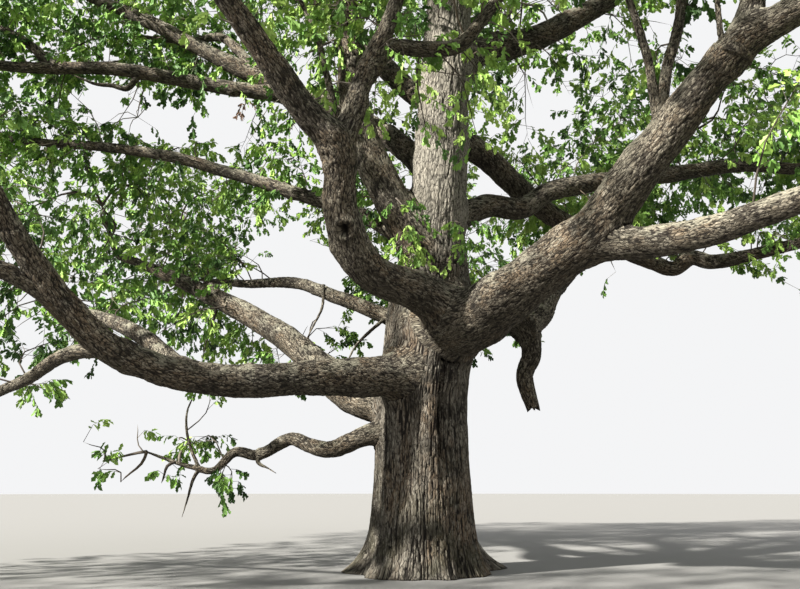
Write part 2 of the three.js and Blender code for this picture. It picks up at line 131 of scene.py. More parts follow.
def corners_round(points: Array, fade: Callable[[Array], Array]) -> Iterator[tuple]:
    """Visit the eight whole-number places round each point.

    Args:
        points: Places, one a row.
        fade: Turns the way from one whole number to the next into a share.

    Yields:
        The corner of each point, the way from that corner to the point, and the corner's weight.
    """
    low = np.floor(points)
    part = points - low
    share = fade(part)
    low = low.astype(np.int64)
    for corner in range(8):
        step = np.array([corner & 1, (corner >> 1) & 1, (corner >> 2) & 1])
        yield low + step, part - step, np.prod(np.where(step == 1, share, 1 - share), axis=1)


def soft_noise(points: Array, size: float, seed: int) -> Array:
    """Give smooth values from -1 to 1 through space.

    Args:
        points: Places, one a row.
        size: Distance over which the value changes.
        seed: Picks the field.

    Returns:
        One value for each place.
    """
    total = np.zeros(len(points))
    for cell, _, weight in corners_round(points / size, lambda part: part * part * (3 - 2 * part)):
        total += weight * scatter(seed, *cell.T)
    return 2 * total - 1


def grain_noise(points: Array, seed: int) -> Array:
    """Give gradient noise, about -1 to 1, that passes through 0 about once in each unit of space.

    Args:
        points: Places, one a row, already in the noise's own units.
        seed: Picks the field.

    Returns:
        One value for each place.
    """
    total = np.zeros(len(points))
    for cell, away, weight in corners_round(points, lambda part: part ** 3 * (part * (part * 6 - 15) + 10)):
        pick = (scatter(seed, *cell.T) * LAST_WAY).astype(np.int64)
        total += weight * np.sum(EDGE_WAYS[pick] * away, axis=1)
    return GRAIN_GAIN * total


def smooth_path(bends: Array, steps: int) -> Array:
    """Run a centripetal curve through bends, as the frame's limbs have it.

    Args:
        bends: The places that it passes.
        steps: Points for each span.

    Returns:
        Points along the curve.
    """
    held = np.vstack([2 * bends[0] - bends[1], bends, 2 * bends[-1] - bends[-2]])
    share = np.linspace(0, 1, steps, endpoint=False)[:, None]
    spans = []
    for k in range(len(bends) - 1):
        before, here, there, after = held[k:k + 4]
        first = max(np.linalg.norm(here - before), 1e-6) ** 0.5
        middle = max(np.linalg.norm(there - here), 1e-6) ** 0.5
        last = max(np.linalg.norm(after - there), 1e-6) ** 0.5
        leave = middle * ((here - before) / first - (there - before) / (first + middle)
                          + (there - here) / middle)
        arrive = middle * ((there - here) / middle - (after - here) / (middle + last)
                           + (after - there) / last)
        square = -3 * here + 3 * there - 2 * leave - arrive
        cube = 2 * here - 2 * there + leave + arrive
        spans.append(here + leave * share + square * share ** 2 + cube * share ** 3)
    return np.vstack([*spans, bends[-1][None]])


def runs_of(spots: Array) -> Array:
    """Give the distance along a path at each of its spots."""
    return np.concatenate([[0.0], np.cumsum(np.linalg.norm(np.diff(spots, axis=0), axis=1))])


def places_at(run: Array | float, runs: Array, spots: Array) -> Array:
    """Find places on a path by their distance along it.

    Args:
        run: One distance, or many.
        runs: The distance at each of the path's spots.
        spots: The path.

    Returns:
        The place at each distance.
    """
    return np.stack([np.interp(run, runs, spots[:, axis]) for axis in range(3)], axis=-1)


def places_along(paths: Array, picked: Array, share: Array) -> tuple[Array, Array]:
    """Find places on many short paths by a share of each path's steps.

    Args:
        paths: The spots of every path.
        picked: The number of the path for each place.
        share: The share of that path.

    Returns:
        The places, and the way that the path takes there.
    """
    steps = paths.shape[1]
    place = share * (steps - 1)
    low = np.minimum(place.astype(np.int64), steps - 2)
    part = (place - low)[:, None]
    places = paths[picked, low] * (1 - part) + paths[picked, low + 1] * part
    return places, unit(paths[picked, low + 1] - paths[picked, low])


def crossways(ways: Array) -> tuple[Array, Array]:
    """Give two directions that are square to each way and to each other.

    Args:
        ways: Unit vectors, one a row.

    Returns:
        The first directions and the second.
    """
    across = unit(np.cross(ways, np.where(np.abs(ways[:, 2:]) > STEEP, SIDEWAYS, UP)))
    return across, np.cross(ways, across)


def square_to(vectors: Array, ways: Array) -> Array:
    """Turn vectors square to their ways, with a length of one."""
    return unit(vectors - ways * np.sum(vectors * ways, axis=1, keepdims=True))


def round_limb(girth: Array | float, angles: Array, heights: Array) -> Array:
    """Lay points round a straight upright limb.

    Args:
        girth: The limb's radius, or the radius of every row.
        angles: The angle of each column.
        heights: The height of each row.

    Returns:
        The points, row after row.
    """
    wide = np.reshape(girth, (-1, 1))
    grid = np.broadcast_arrays(wide * np.cos(angles), wide * np.sin(angles), heights[:, None])
    return np.stack(grid, axis=2).reshape(-1, 3)


def turn_from(degrees: Array, bearing: float) -> Array:
    """Give the turn from a bearing to each direction, from -180 to 180 degrees."""
    return (degrees - bearing + 180) % 360 - 180


def carried_sections(spots: Array) -> tuple[Array, Array, Array]:
    """Carry a section along a path without twist.

    Args:
        spots: The path.

    Returns:
        Three unit vectors at each spot: along the path, across it, and square to both.
    """
    ways = unit(np.gradient(spots, axis=0))
    across = np.cross(UP, ways[0])
    if np.linalg.norm(across) < 0.2:
        across = SIDEWAYS
    rows = []
    for way in ways:
        across = unit(across - way * np.dot(across, way))
        rows.append(across)
    sides = np.array(rows)
    return ways, sides, np.cross(ways, sides)


@dataclass
class Line:
    """A path with a radius at each spot, for measuring how near something lies to a limb."""

    spots: Array
    radii: Array

    def gap(self, points: Array) -> tuple[Array, Array]:
        """Measure from points to the skin round the line.

        Args:
            points: Places, one a row.

        Returns:
            The distance to the skin, below 0 inside it, and the radius there.
        """
        best = np.full(len(points), np.inf)
        thick = np.zeros(len(points))
        for k in range(len(self.spots) - 1):
            span = self.spots[k + 1] - self.spots[k]
            share = np.clip((points - self.spots[k]) @ span / (span @ span), 0, 1)
            radius = self.radii[k] + share * (self.radii[k + 1] - self.radii[k])
            away = np.linalg.norm(points - self.spots[k] - share[:, None] * span, axis=1) - radius
            nearer = away < best
            best[nearer] = away[nearer]
            thick[nearer] = radius[nearer]
        return best, thick

    def passes(self, centre: Array, reach: float) -> bool:
        """Say whether the line comes within reach of a place."""
        return bool(self.gap(centre[None])[0][0] < reach)


@dataclass(frozen=True)
class Camera:
    """The camera of the reference view: eye height on level ground, looking up into the crown."""

    place: Spot = (-0.46, -15.0, 1.5)
    pitch: float = math.radians(14.05)
    lens: float = 35.0
    sensor: float = 36.0
    width: float = 800.0
    height: float = 589.0

    @property
    def focal(self) -> float:
        """Give the focal length in pixels."""
        return self.width * self.lens / self.sensor

    def pixels(self, points: Array) -> tuple[Array, Array, Array]:
        """Project places to the reference frame.

        Args:
            points: Places, one a row.

        Returns:
            Pixels to the right, pixels down and the depth of each place.
        """
        away = points - np.array(self.place)
        depth = away[:, 1] * math.cos(self.pitch) + away[:, 2] * math.sin(self.pitch)
        rise = away[:, 2] * math.cos(self.pitch) - away[:, 1] * math.sin(self.pitch)
        safe = np.maximum(depth, 1e-6)
        right = self.width / 2 + self.focal * away[:, 0] / safe
        return right, self.height / 2 - self.focal * rise / safe, depth

    def build(self) -> None:
        """Make the camera and let the scene look through it."""
        data = bpy.data.cameras.new("camera")
        data.lens = self.lens
        data.sensor_width = self.sensor
        data.clip_end = 500.0
        camera = bpy.data.objects.new("camera", data)
        camera.location = self.place
        camera.rotation_euler = (math.radians(90) + self.pitch, 0.0, 0.0)
        bpy.context.scene.collection.objects.link(camera)
        bpy.context.scene.camera = camera


CAMERA = Camera()


class Nodes:
    """A material's node tree, with short calls for the nodes that the finishes share."""

    def __init__(self, name: str) -> None:
        """Start a material with its surface shader.

        Args:
            name: The material's name.
        """
        self.material = bpy.data.materials.new(name)
        self.material.use_nodes = True
        self.tree = self.material.node_tree
        self.surface = self.tree.nodes["Principled BSDF"]

    def add(self, kind: str, **values: object) -> bpy.types.Node:
        """Add a node and set its properties.

        Args:
            kind: Blender's name for the node.
            **values: Properties by name.

        Returns:
            The node.
        """
        node = self.tree.nodes.new(kind)
        for key, value in values.items():
            setattr(node, key, value)
        return node

    def link(self, source: Socket, target: Socket) -> None:
        """Join one socket to another."""
        self.tree.links.new(source, target)

    def stretched(self, source: Socket, scale: Spot) -> Socket:
        """Scale a coordinate along each axis.

        Args:
            source: The coordinate.
            scale: A factor for each axis.

        Returns:
            The scaled coordinate.
        """
        node = self.add("ShaderNodeVectorMath", operation="MULTIPLY")
        self.link(source, node.inputs[0])
        node.inputs[1].default_value = scale
        return node.outputs[0]

    def noise(self, source: Socket, scale: float, detail: float = 3.0) -> Socket:
        """Add a noise over a coordinate.

        Args:
            source: The coordinate.
            scale: Repeats for each metre.
            detail: Finer layers.

        Returns:
            The noise's value.
        """
        node = self.add("ShaderNodeTexNoise")
        node.inputs["Scale"].default_value = scale
        node.inputs["Detail"].default_value = detail
        self.link(source, node.inputs["Vector"])
        return node.outputs["Fac"]

    def warped(self, source: Socket, scale: float, amount: float) -> Socket:
        """Push a coordinate about by a noise.

        Args:
            source: The coordinate.
            scale: Repeats of the noise for each metre.
            amount: How far it may push.

        Returns:
            The pushed coordinate.
        """
        node = self.add("ShaderNodeTexNoise")
        node.inputs["Scale"].default_value = scale
        self.link(source, node.inputs["Vector"])
        push = self.add("ShaderNodeVectorMath", operation="MULTIPLY_ADD")
        self.link(node.outputs["Color"], push.inputs[0])
        push.inputs[1].default_value = (amount, amount, amount)
        self.link(source, push.inputs[2])
        return push.outputs[0]

    def plates(self, source: Socket, scale: float) -> tuple[Socket, Socket]:
        """Split a surface into plates.

        Args:
            source: The coordinate.
            scale: Plates for each metre.

        Returns:
            The distance to the nearest crack, and a tone that each plate has to itself.
        """
        edge = self.add("ShaderNodeTexVoronoi", feature="DISTANCE_TO_EDGE")
        tone = self.add("ShaderNodeTexVoronoi")
        for node in (edge, tone):
            node.inputs["Scale"].default_value = scale
            self.link(source, node.inputs["Vector"])
        split = self.add("ShaderNodeSeparateColor")
        self.link(tone.outputs["Color"], split.inputs[0])
        return edge.outputs["Distance"], split.outputs[0]

    def ramp(self, source: Socket, low: float, high: float) -> Socket:
        """Turn a value into a share that rises from 0 at low to 1 at high.

        Args:
            source: The value.
            low: Where the share is 0.
            high: Where it is 1.

        Returns:
            The share.
        """
        node = self.add("ShaderNodeMapRange", interpolation_type="SMOOTHSTEP")
        node.inputs["From Min"].default_value = low
        node.inputs["From Max"].default_value = high
        self.link(source, node.inputs["Value"])
        return node.outputs["Result"]

    def times(self, first: Socket, second: Socket | float) -> Socket:
        """Multiply two values.

        Args:
            first: One value.
            second: The other, or a plain number.

        Returns:
            Their product.
        """
        node = self.add("ShaderNodeMath", operation="MULTIPLY")
        self.link(first, node.inputs[0])
        if isinstance(second, float):
            node.inputs[1].default_value = second
        else:
            self.link(second, node.inputs[1])
        return node.outputs[0]

    def blend(self, share: Socket, low: Socket | Colour, high: Socket | Colour) -> Socket:
        """Mix two colours by a share.

        Args:
            share: 0 for the first colour and 1 for the second.
            low: The first colour.
            high: The second colour.

        Returns:
            The mixed colour.
        """
        node = self.add("ShaderNodeMix", data_type="RGBA")
        self.link(share, node.inputs["Factor"])
        for side, key in ((low, 6), (high, 7)):
            if isinstance(side, tuple):
                node.inputs[key].default_value = (*side, 1.0)
            else:
                self.link(side, node.inputs[key])
        return node.outputs[2]


@dataclass(frozen=True)
class BarkFinish:
    """Rough bark: ridges and furrows whose dark colour is partly painted shade, patches of tone, lichen with
    painted light on the tops, painted shade on the undersides and stains near the ground.
    """

    name: str
    ridge: Colour
    ridge_warm: Colour
    ridge_dark: Colour
    furrow_and_shade: Colour
    lichen_and_top_light: Colour
    underside_shade: Colour
    moss: Colour
    pale: Colour
    lichen_top_light_share: float
    moss_height: float
    furrow_shade_share: float
    plate: float
    plate_share: float
    stretch: float
    pale_from: float = 90.0
    pale_over: float = 1.6
    aged_share: float = 0.8
    aged_cracks: float = 0.5
    grain: float = 24.0
    grit_share: float = 0.55
    pit_share: float = 0.8
    underside_shade_share: float = 0.6
    moss_share: float = 0.35
    warp: float = 0.06
    roughness: float = 0.92
    shine: float = 0.2
    bump_strength: float = 0.8
    bump_depth: float = 0.02

    def make(self) -> bpy.types.Material:
        """Build the material.

        Returns:
            The bark's material.
        """
        nodes = Nodes(self.name)
        crack = nodes.add("ShaderNodeAttribute", attribute_name="crack").outputs["Fac"]
        straight = nodes.add("ShaderNodeAttribute", attribute_name="straight").outputs["Vector"]
        place = nodes.add("ShaderNodeTexCoord").outputs["Object"]
        facing = nodes.add("ShaderNodeSeparateXYZ")
        nodes.link(nodes.add("ShaderNodeNewGeometry").outputs["Normal"], facing.inputs[0])
        height = nodes.add("ShaderNodeSeparateXYZ")
        nodes.link(place, height.inputs[0])
        along = nodes.stretched(straight, (1.0, 1.0, 0.3))
        laid = nodes.stretched(straight, (1.0, 1.0, self.stretch))
        edge, tone = nodes.plates(nodes.warped(laid, 11.0, self.warp), self.plate)

        wood = nodes.blend(nodes.ramp(nodes.noise(along, 1.7), 0.4, 0.64), self.ridge, self.ridge_warm)
        wood = nodes.blend(nodes.ramp(nodes.noise(place, 1.9, 7.0), 0.49, 0.62), wood, self.ridge_dark)
        wood = nodes.blend(nodes.times(nodes.ramp(tone, 0.45, 1.0), self.plate_share), wood, self.pale)
        wood = nodes.blend(nodes.times(nodes.ramp(tone, 0.4, 0.0), self.plate_share), wood, self.ridge_dark)
        risen = nodes.ramp(height.outputs["Z"], self.pale_from, self.pale_from + self.pale_over)
        aged = nodes.times(risen, self.aged_share)
        wood = nodes.blend(aged, wood, self.pale)
        grit = nodes.ramp(nodes.noise(along, self.grain, 5.0), 0.48, 0.7)
        wood = nodes.blend(nodes.times(grit, self.grit_share), wood, self.pale)
        # Dark pits and the plates' rims take the furrow colour: partly darker bark, partly painted shade in
        # these small hollows.
        pits = nodes.ramp(nodes.noise(along, 1.7 * self.grain, 3.0), 0.5, 0.3)
        wood = nodes.blend(nodes.times(pits, self.pit_share), wood, self.furrow_and_shade)
        rims = nodes.times(nodes.ramp(edge, 0.1, 0.02), 2 * self.plate_share)
        wood = nodes.blend(rims, wood, self.furrow_and_shade)
        # Pale patches on the upward faces only: partly lichen, partly painted light on the lit tops.
        lit = nodes.ramp(facing.outputs["Z"], -0.2, 0.8)
        spots = nodes.ramp(nodes.noise(place, 3.4, 8.0), 0.54 - 0.1 * self.lichen_top_light_share, 0.62)
        wood = nodes.blend(nodes.times(nodes.times(spots, lit), self.lichen_top_light_share), wood, self.lichen_and_top_light)
        # Painted shade: faces that look downward darken towards the underside shade colour.
        shade = nodes.ramp(facing.outputs["Z"], 0.1, -0.8)
        wood = nodes.blend(nodes.times(shade, self.underside_shade_share), wood, self.underside_shade)
        low = nodes.ramp(height.outputs["Z"], self.moss_height, 0.1)
        damp = nodes.ramp(nodes.noise(place, 1.6, 6.0), 0.45, 0.6)
        wood = nodes.blend(nodes.times(nodes.times(low, damp), self.moss_share), wood, self.moss)
        # The cracks take the near-black furrow colour: partly the darker bark of the furrows, partly painted
        # shade deep in them.
        deep = nodes.times(nodes.ramp(crack, 0.25, 0.75), self.furrow_shade_share)
        cracked = nodes.blend(deep, wood, self.furrow_and_shade)
        bark = nodes.blend(nodes.times(aged, self.aged_cracks), cracked, wood)
        nodes.link(bark, nodes.surface.inputs["Base Color"])
        nodes.surface.inputs["Roughness"].default_value = self.roughness
        nodes.surface.inputs["Specular IOR Level"].default_value = self.shine

        bump = nodes.add("ShaderNodeBump")
        bump.inputs["Strength"].default_value = self.bump_strength
        bump.inputs["Distance"].default_value = self.bump_depth
        relief = nodes.add("ShaderNodeMath", operation="ADD")
        nodes.link(nodes.times(nodes.noise(along, 1.6 * self.grain, 6.0), 0.6), relief.inputs[0])
        nodes.link(nodes.times(nodes.ramp(edge, 0.0, 0.14), 0.7), relief.inputs[1])
        nodes.link(relief.outputs[0], bump.inputs["Height"])
        nodes.link(bump.outputs["Normal"], nodes.surface.inputs["Normal"])
        return nodes.material


# In both barks the under colour is painted shade on the undersides, the furrow colour is partly painted
# shade in the cracks and the lichen colour is partly painted light on the tops.
TRUNK_BARK = BarkFinish(
    "trunk_bark", ridge=(0.1, 0.088, 0.07), ridge_warm=(0.132, 0.097, 0.065),
    ridge_dark=(0.042, 0.036, 0.028), furrow_and_shade=(0.008, 0.0065, 0.005), lichen_and_top_light=(0.19, 0.182, 0.145),
    underside_shade=(0.032, 0.026, 0.019), moss=(0.045, 0.042, 0.02), pale=(0.27, 0.25, 0.208),
    lichen_top_light_share=0.4, moss_height=2.8, furrow_shade_share=0.95, plate=24.0, plate_share=0.3, stretch=0.28,
    pale_from=5.3)
BOUGH_BARK = BarkFinish(
    "bough_bark", ridge=(0.126, 0.11, 0.082), ridge_warm=(0.145, 0.105, 0.067),
    ridge_dark=(0.037, 0.031, 0.023), furrow_and_shade=(0.01, 0.008, 0.006), lichen_and_top_light=(0.27, 0.255, 0.195),
    underside_shade=(0.031, 0.025, 0.017), moss=(0.07, 0.07, 0.03), pale=(0.32, 0.29, 0.23),
    lichen_top_light_share=0.8, moss_height=0.4, furrow_shade_share=0.9, plate=30.0, plate_share=0.42, stretch=0.4)


class LeafTint(Enum):
    """The spring greens, each a plain colour that whole sprays share, running from a light green to a shaded
    one: partly real tone, partly lit and shaded copies of one green as painted light and shade.
    """

    BRIGHT = (0.31, 0.46, 0.1)
    FRESH = (0.25, 0.4, 0.078)
    MIDDLE = (0.16, 0.295, 0.054)
    CLEAR = (0.108, 0.22, 0.041)
    DEEP = (0.066, 0.145, 0.029)
    SHADED = (0.036, 0.083, 0.02)
    DEAD = (0.1, 0.05, 0.024)


GREENS = len(LeafTint) - 1


def greens_of(rank: Array) -> Array:
    """Give the number of the green for each rank, from 0 for the lightest to 1 for the darkest."""
    return np.clip(np.floor(rank * GREENS), 0, GREENS - 1).astype(np.int64)


class WoodTint(Enum):
    """The twigs' greys and browns, each a plain colour that whole twigs share."""

    GREY = (0.155, 0.135, 0.11)
    BROWN = (0.095, 0.072, 0.05)
    DARK = (0.05, 0.04, 0.03)


@dataclass(frozen=True)
class PlainFinish:
    """One plain colour, for the leaves and twigs that are far too small for a pattern."""

    name: str
    colour: Colour
    roughness: float
    shine: float = 0.3

    def make(self) -> bpy.types.Material:
        """Build the material, or find it where it is made already.

        Returns:
            The plain material.
        """
        known = bpy.data.materials.get(self.name)
        if known:
            return known
        nodes = Nodes(self.name)
        nodes.surface.inputs["Base Color"].default_value = (*self.colour, 1.0)
        nodes.surface.inputs["Roughness"].default_value = self.roughness
        nodes.surface.inputs["Specular IOR Level"].default_value = self.shine
        return nodes.material


def tinted(kind: str, tints: type[Enum], roughness: float) -> list[bpy.types.Material]:
    """Make a plain material for each of some tints.

    Args:
        kind: What the tints are for, the first word of the materials' names.
        tints: The tints.
        roughness: The roughness that they share.

    Returns:
        The materials, in the order of the tints.
    """
    return [PlainFinish(f"{kind}_{tint.name.lower()}", tint.value, roughness).make() for tint in tints]


@dataclass
class Mesh:
    """Arrays of one piece, gathered before Blender makes it."""

    name: str
    spots: Array
    quads: Array = field(default_factory=lambda: np.zeros((0, 4), dtype=np.int64))
    tris: Array = field(default_factory=lambda: np.zeros((0, 3), dtype=np.int64))
    quad_finish: Array | None = None
    tri_finish: Array | None = None
    quad_map: Array | None = None
    tri_map: Array | None = None
    values: dict[str, Array] = field(default_factory=dict)
    smooth: bool = True

    def make(self, materials: Sequence[bpy.types.Material], slot: str,
             nodes: Sequence[str]) -> bpy.types.Object:
        """Turn the arrays into a piece that rides on the tree.

        Args:
            materials: The piece's materials, in the order of its finish numbers.
            slot: Not used.
            nodes: The frame's solids that it stands for.

        Returns:
            The piece.
        """
        data = bpy.data.meshes.new(self.name)
        data.vertices.add(len(self.spots))
        data.vertices.foreach_set("co", self.spots.astype(np.float32).ravel())
        corners = np.concatenate([self.quads.ravel(), self.tris.ravel()]).astype(np.int32)
        data.loops.add(len(corners))
        data.loops.foreach_set("vertex_index", corners)
        starts = np.concatenate([4 * np.arange(len(self.quads)),
                                 4 * len(self.quads) + 3 * np.arange(len(self.tris))]).astype(np.int32)
        data.polygons.add(len(starts))
        data.polygons.foreach_set("loop_start", starts)
        if self.quad_finish is not None or self.tri_finish is not None:
            parts = [part for part in (self.quad_finish, self.tri_finish) if part is not None]
            data.polygons.foreach_set("material_index", np.concatenate(parts).astype(np.int32))
        data.polygons.foreach_set("use_smooth", np.full(len(starts), self.smooth))
        for key, value in self.values.items():
            kind, member = ("FLOAT", "value") if value.ndim == 1 else ("FLOAT_VECTOR", "vector")
            layer = data.attributes.new(key, kind, "POINT")
            layer.data.foreach_set(member, value.astype(np.float32).ravel())
        if self.quad_map is not None:
            parts = [part.reshape(-1, 2) for part in (self.quad_map, self.tri_map) if part is not None]
            layer = data.uv_layers.new(name="OFBake")
            layer.uv.foreach_set("vector", np.concatenate(parts).astype(np.float32).ravel())
        for material in materials:
            data.materials.append(material)
        data.update()
        data.validate()
        piece = bpy.data.objects.new(self.name, data)
        bpy.context.scene.collection.objects.link(piece)
        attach(piece, BODY)
        if nodes:
            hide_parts(*nodes)
        faces = 2 * len(self.quads) + len(self.tris)
        log.info("%s: %d triangles", self.name, faces)
        return piece


@dataclass(frozen=True)
class Ridges:
    """The bark's relief: ridges that fork and meet along a limb, with furrows and short breaks."""

    width: float
    length: float
    depth: float
    breaks: float
    wander: float = 0.55
    slide: float = 0.35
    push_scale: Spot = (2.6, 2.6, 0.9)
    break_scale: Spot = (1.5, 1.5, 0.5)
    plateau_edge: float = 0.3
    crack_edge: float = 0.2
    break_edge: tuple[float, float] = (0.02, 0.2)

    def relief(self, straight: Array, seed: int) -> tuple[Array, Array]:
        """Work out the bark's height and its cracks.

        Args:
            straight: Each point's place on the limb as if that were straight, with the run as its height.
            seed: Picks the bark.

        Returns:
            The height from 0 to 1, and how much of each point is crack.
        """
        size = np.array([self.width, self.width, self.length])
        pushed = straight.copy()
        for axis in (0, 1):
            push = grain_noise(straight / (size * self.push_scale), seed + axis)
            pushed[:, axis] += self.wander * self.width * push
        pushed[:, 2] += self.slide * self.length * grain_noise(straight / (3 * self.width), seed + 2)
        main = np.abs(grain_noise(pushed / size, seed + 3))
        plateau = ease(0.0, self.plateau_edge, main)
        across = np.abs(grain_noise(pushed / (size * self.break_scale), seed + 4))
        breaks = self.breaks * (1 - ease(*self.break_edge, across))
        rough = grain_noise(pushed / (0.5 * size), seed + 5)
        height = plateau * (1 - 0.6 * breaks) * (0.85 + 0.25 * rough)
        crack = np.maximum(1 - ease(0.0, self.crack_edge, main), 0.8 * breaks)
        return height, np.clip(crack, 0, 1)


@dataclass(frozen=True)
class KnotHole:
    """A hole where a branch has rotted out, with the healed rim round it."""

    place: Spot
    radius: float
    floor: float = 0.4
    edge: float = 0.95
    rim: float = 1.2
    rim_width: float = 0.4
    rim_height: float = 0.45
    depth: float = 1.5

    def shape(self, spots: Array) -> tuple[Array, Array]:
        """Work out the hole in a skin.

        Args:
            spots: The skin's grid.

        Returns:
            How far each point rises, and how much of it is hollow.
        """
        middle = spots.reshape(-1, 3)[np.argmin(np.linalg.norm(spots - np.array(self.place), axis=2))]
        away = np.linalg.norm(spots - middle, axis=2) / self.radius
        hollow = 1 - ease(self.floor, self.edge, away)
        rim = np.exp(-((away - self.rim) / self.rim_width) ** 2)
        return self.radius * (self.rim_height * rim - self.depth * hollow), hollow


@dataclass
class Skin:
    """A grid of points round a limb or the trunk, before it gets its bark."""

    name: str
    centres: Array
    outward: Array
    reach: Array
    runs: Array
    turns: Array
    blend: Array
    seed: int
    girth: Array
    holes: Sequence[KnotHole] = ()
    ragged: float = 0.0

    def settle(self, others: Sequence[Line]) -> Array:
        """Let the skin flow into the limbs that it meets, like the collar round a branch's foot.

        Args:
            others: The limbs near it.

        Returns:
            How far each point is lifted from the plain tube.
        """
        rows, columns = self.reach.shape
        lift = np.zeros((rows, columns))
        thick = self.reach.mean(axis=1)
        near = np.zeros(rows, dtype=bool)
        for other in others:
            near |= other.gap(self.centres)[0] < NEAR_THICK * thick + NEAR_BLEND * self.blend
        picked = np.flatnonzero(near)
        if not len(picked):
            return lift
        start = self.centres[picked, None] + self.outward[picked] * self.reach[picked, :, None]
        start = start.reshape(-1, 3)
        way = self.outward[picked].reshape(-1, 3)
        blend = np.repeat(self.blend[picked], columns)
        rise = np.zeros(len(start))
        active = np.ones(len(start), dtype=bool)
        apart = np.full(len(start), FAR)
        for _ in range(SETTLE_STEPS):
            spots = start[active] + way[active] * rise[active, None]
            gaps = np.full(len(spots), FAR)
            widths = np.full(len(spots), 1.0)
            for other in others:
                gap, radius = other.gap(spots)
                widths = np.where(gap < gaps, radius, widths)
                gaps = np.minimum(gaps, gap)
            soft_range = np.minimum(blend[active], BLEND_SHARE * widths)
            soft = np.maximum(soft_range - np.abs(rise[active] - gaps), 0)
            joint = np.minimum(rise[active], gaps) - soft ** 2 / (4 * soft_range)
            rise[active] = np.minimum(rise[active] - joint, MOST_LIFT * blend[active])
            apart[active] = gaps
            keep = active.copy()
            keep[active] = joint < -SETTLED
            active = keep
            if not active.any():
                break
        rise = np.where(rise > apart, np.maximum(apart, 0), rise)
        lift[picked] = rise.reshape(-1, columns)
        return lift

    def bark(self, ridges: Ridges, others: Sequence[Line], floor: bool = False,
             upper: tuple[Ridges, float, float] | None = None) -> Mesh:
        """Give the skin its bark and close its ends.

        Args:
            ridges: The bark's relief.
            others: The limbs near it.
            floor: Whether its first row lies flat on the ground.
            upper: A second relief, with the runs between which it takes over.

        Returns:
            The skin as a mesh.
        """
        rows, columns = self.reach.shape
        lift = self.settle(others)
        spots = self.centres[:, None] + self.outward * (self.reach + lift)[:, :, None]
        around = np.roll(spots, -1, axis=1) - np.roll(spots, 1, axis=1)
        normals = unit(np.cross(around, np.gradient(spots, axis=0)))
        normals *= np.sign(np.sum(normals * self.outward, axis=2))[:, :, None]
        flat = round_limb(self.girth, 2 * math.pi * self.turns, self.runs)
        height, crack = ridges.relief(flat, self.seed)
        depth = np.full(rows, ridges.depth)
        if upper:
            second, low, high = upper
            share = ease(low, high, self.runs)
            taller, finer = second.relief(flat, self.seed + 40)
            wide = np.repeat(share, columns)
            height = height * (1 - wide) + taller * wide
            crack = crack * (1 - wide) + finer * wide
            depth = depth * (1 - share) + second.depth * share
        depth = depth * np.minimum(1, self.girth / np.median(self.girth)) ** DEPTH_POWER
        fade = np.minimum(1, (rows - 1 - np.arange(rows)) / FADE_ROWS)
        swell = (height.reshape(rows, columns) - MEAN_HEIGHT) * (depth * fade)[:, None]
        spots = spots + normals * swell[:, :, None]
        for hole in self.holes:
            rise, hollow = hole.shape(spots)
            spots = spots + normals * rise[:, :, None]
            # The hollow counts as crack, so it takes the dark furrow colour: partly rotten wood, partly
            # painted shade inside the hole.
            crack = np.maximum(crack, hollow.ravel())
        if self.ragged:
            spots = spots + self.splinters()
        if floor:
            spots[0, :, 2] = 0
            spots[1:, :, 2] = np.maximum(spots[1:, :, 2], OFF_GROUND)
        return self.closed(spots, flat, crack)

    def splinters(self) -> Array:
        """Work out how a broken end is torn.

        Returns:
            How far each point of the grid moves.
        """
        way = unit(self.centres[-1] - self.centres[-4])
        angles = 2 * math.pi * self.turns
        ring = np.stack([np.cos(angles), np.sin(angles), 0 * angles], axis=1)
        torn = grain_noise(3.1 * ring, self.seed) + 0.6 * grain_noise(7.3 * ring, self.seed + 1)
        share = ease(self.runs[-1] - 3 * self.ragged, self.runs[-1], self.runs)
        return way * (self.ragged * torn[None] * share[:, None])[:, :, None]

    def closed(self, spots: Array, straight: Array, crack: Array) -> Mesh:
        """Join the grid into faces with a cap at each end.

        Args:
            spots: The grid's points.
            straight: Their places on a straight limb.
            crack: How much of each is crack.

        Returns:
            The closed mesh.
        """
        rows, columns = spots.shape[:2]
        row, column = np.meshgrid(np.arange(rows - 1), np.arange(columns), indexing="ij")
        after = (column + 1) % columns
        quads = np.stack([row * columns + column, row * columns + after, (row + 1) * columns + after,
                          (row + 1) * columns + column], axis=2).reshape(-1, 4)
        left = column / columns
        right = (column + 1) / columns
        low = MAP_LOW + (MAP_HIGH - MAP_LOW) * row / (rows - 1)
        high = MAP_LOW + (MAP_HIGH - MAP_LOW) * (row + 1) / (rows - 1)
        quad_map = np.stack([left, low, right, low, right, high, left, high], axis=2).reshape(-1, 4, 2)
        ends = np.stack([spots[0].mean(axis=0), spots[-1].mean(axis=0)])
        total = rows * columns
        ring = np.arange(columns)
        following = (ring + 1) % columns
        last = (rows - 1) * columns
        first_cap = np.stack([np.full(columns, total), following, ring], axis=1)
        last_cap = np.stack([np.full(columns, total + 1), last + ring, last + following], axis=1)
        cap_map = np.zeros((2 * columns, 3, 2))
        cap_map[:columns, :, 1] = CAP_LOW
        cap_map[columns:, :, 1] = CAP_HIGH
        cap_map[:, 0, 0] = 0.5
        cap_map[:, 1, 0] = np.tile(ring / columns, 2)
        cap_map[:, 2, 0] = np.tile((ring + 1) / columns, 2)
        values = {
            "crack": np.concatenate([crack, [CAP_CRACK, CAP_CRACK]]),
            "straight": np.vstack([straight, straight[0], straight[-1]]),
        }
        return Mesh(self.name, np.vstack([spots.reshape(-1, 3), ends]), quads=quads,
                    tris=np.vstack([first_cap, last_cap]), quad_map=quad_map, tri_map=cap_map, values=values)


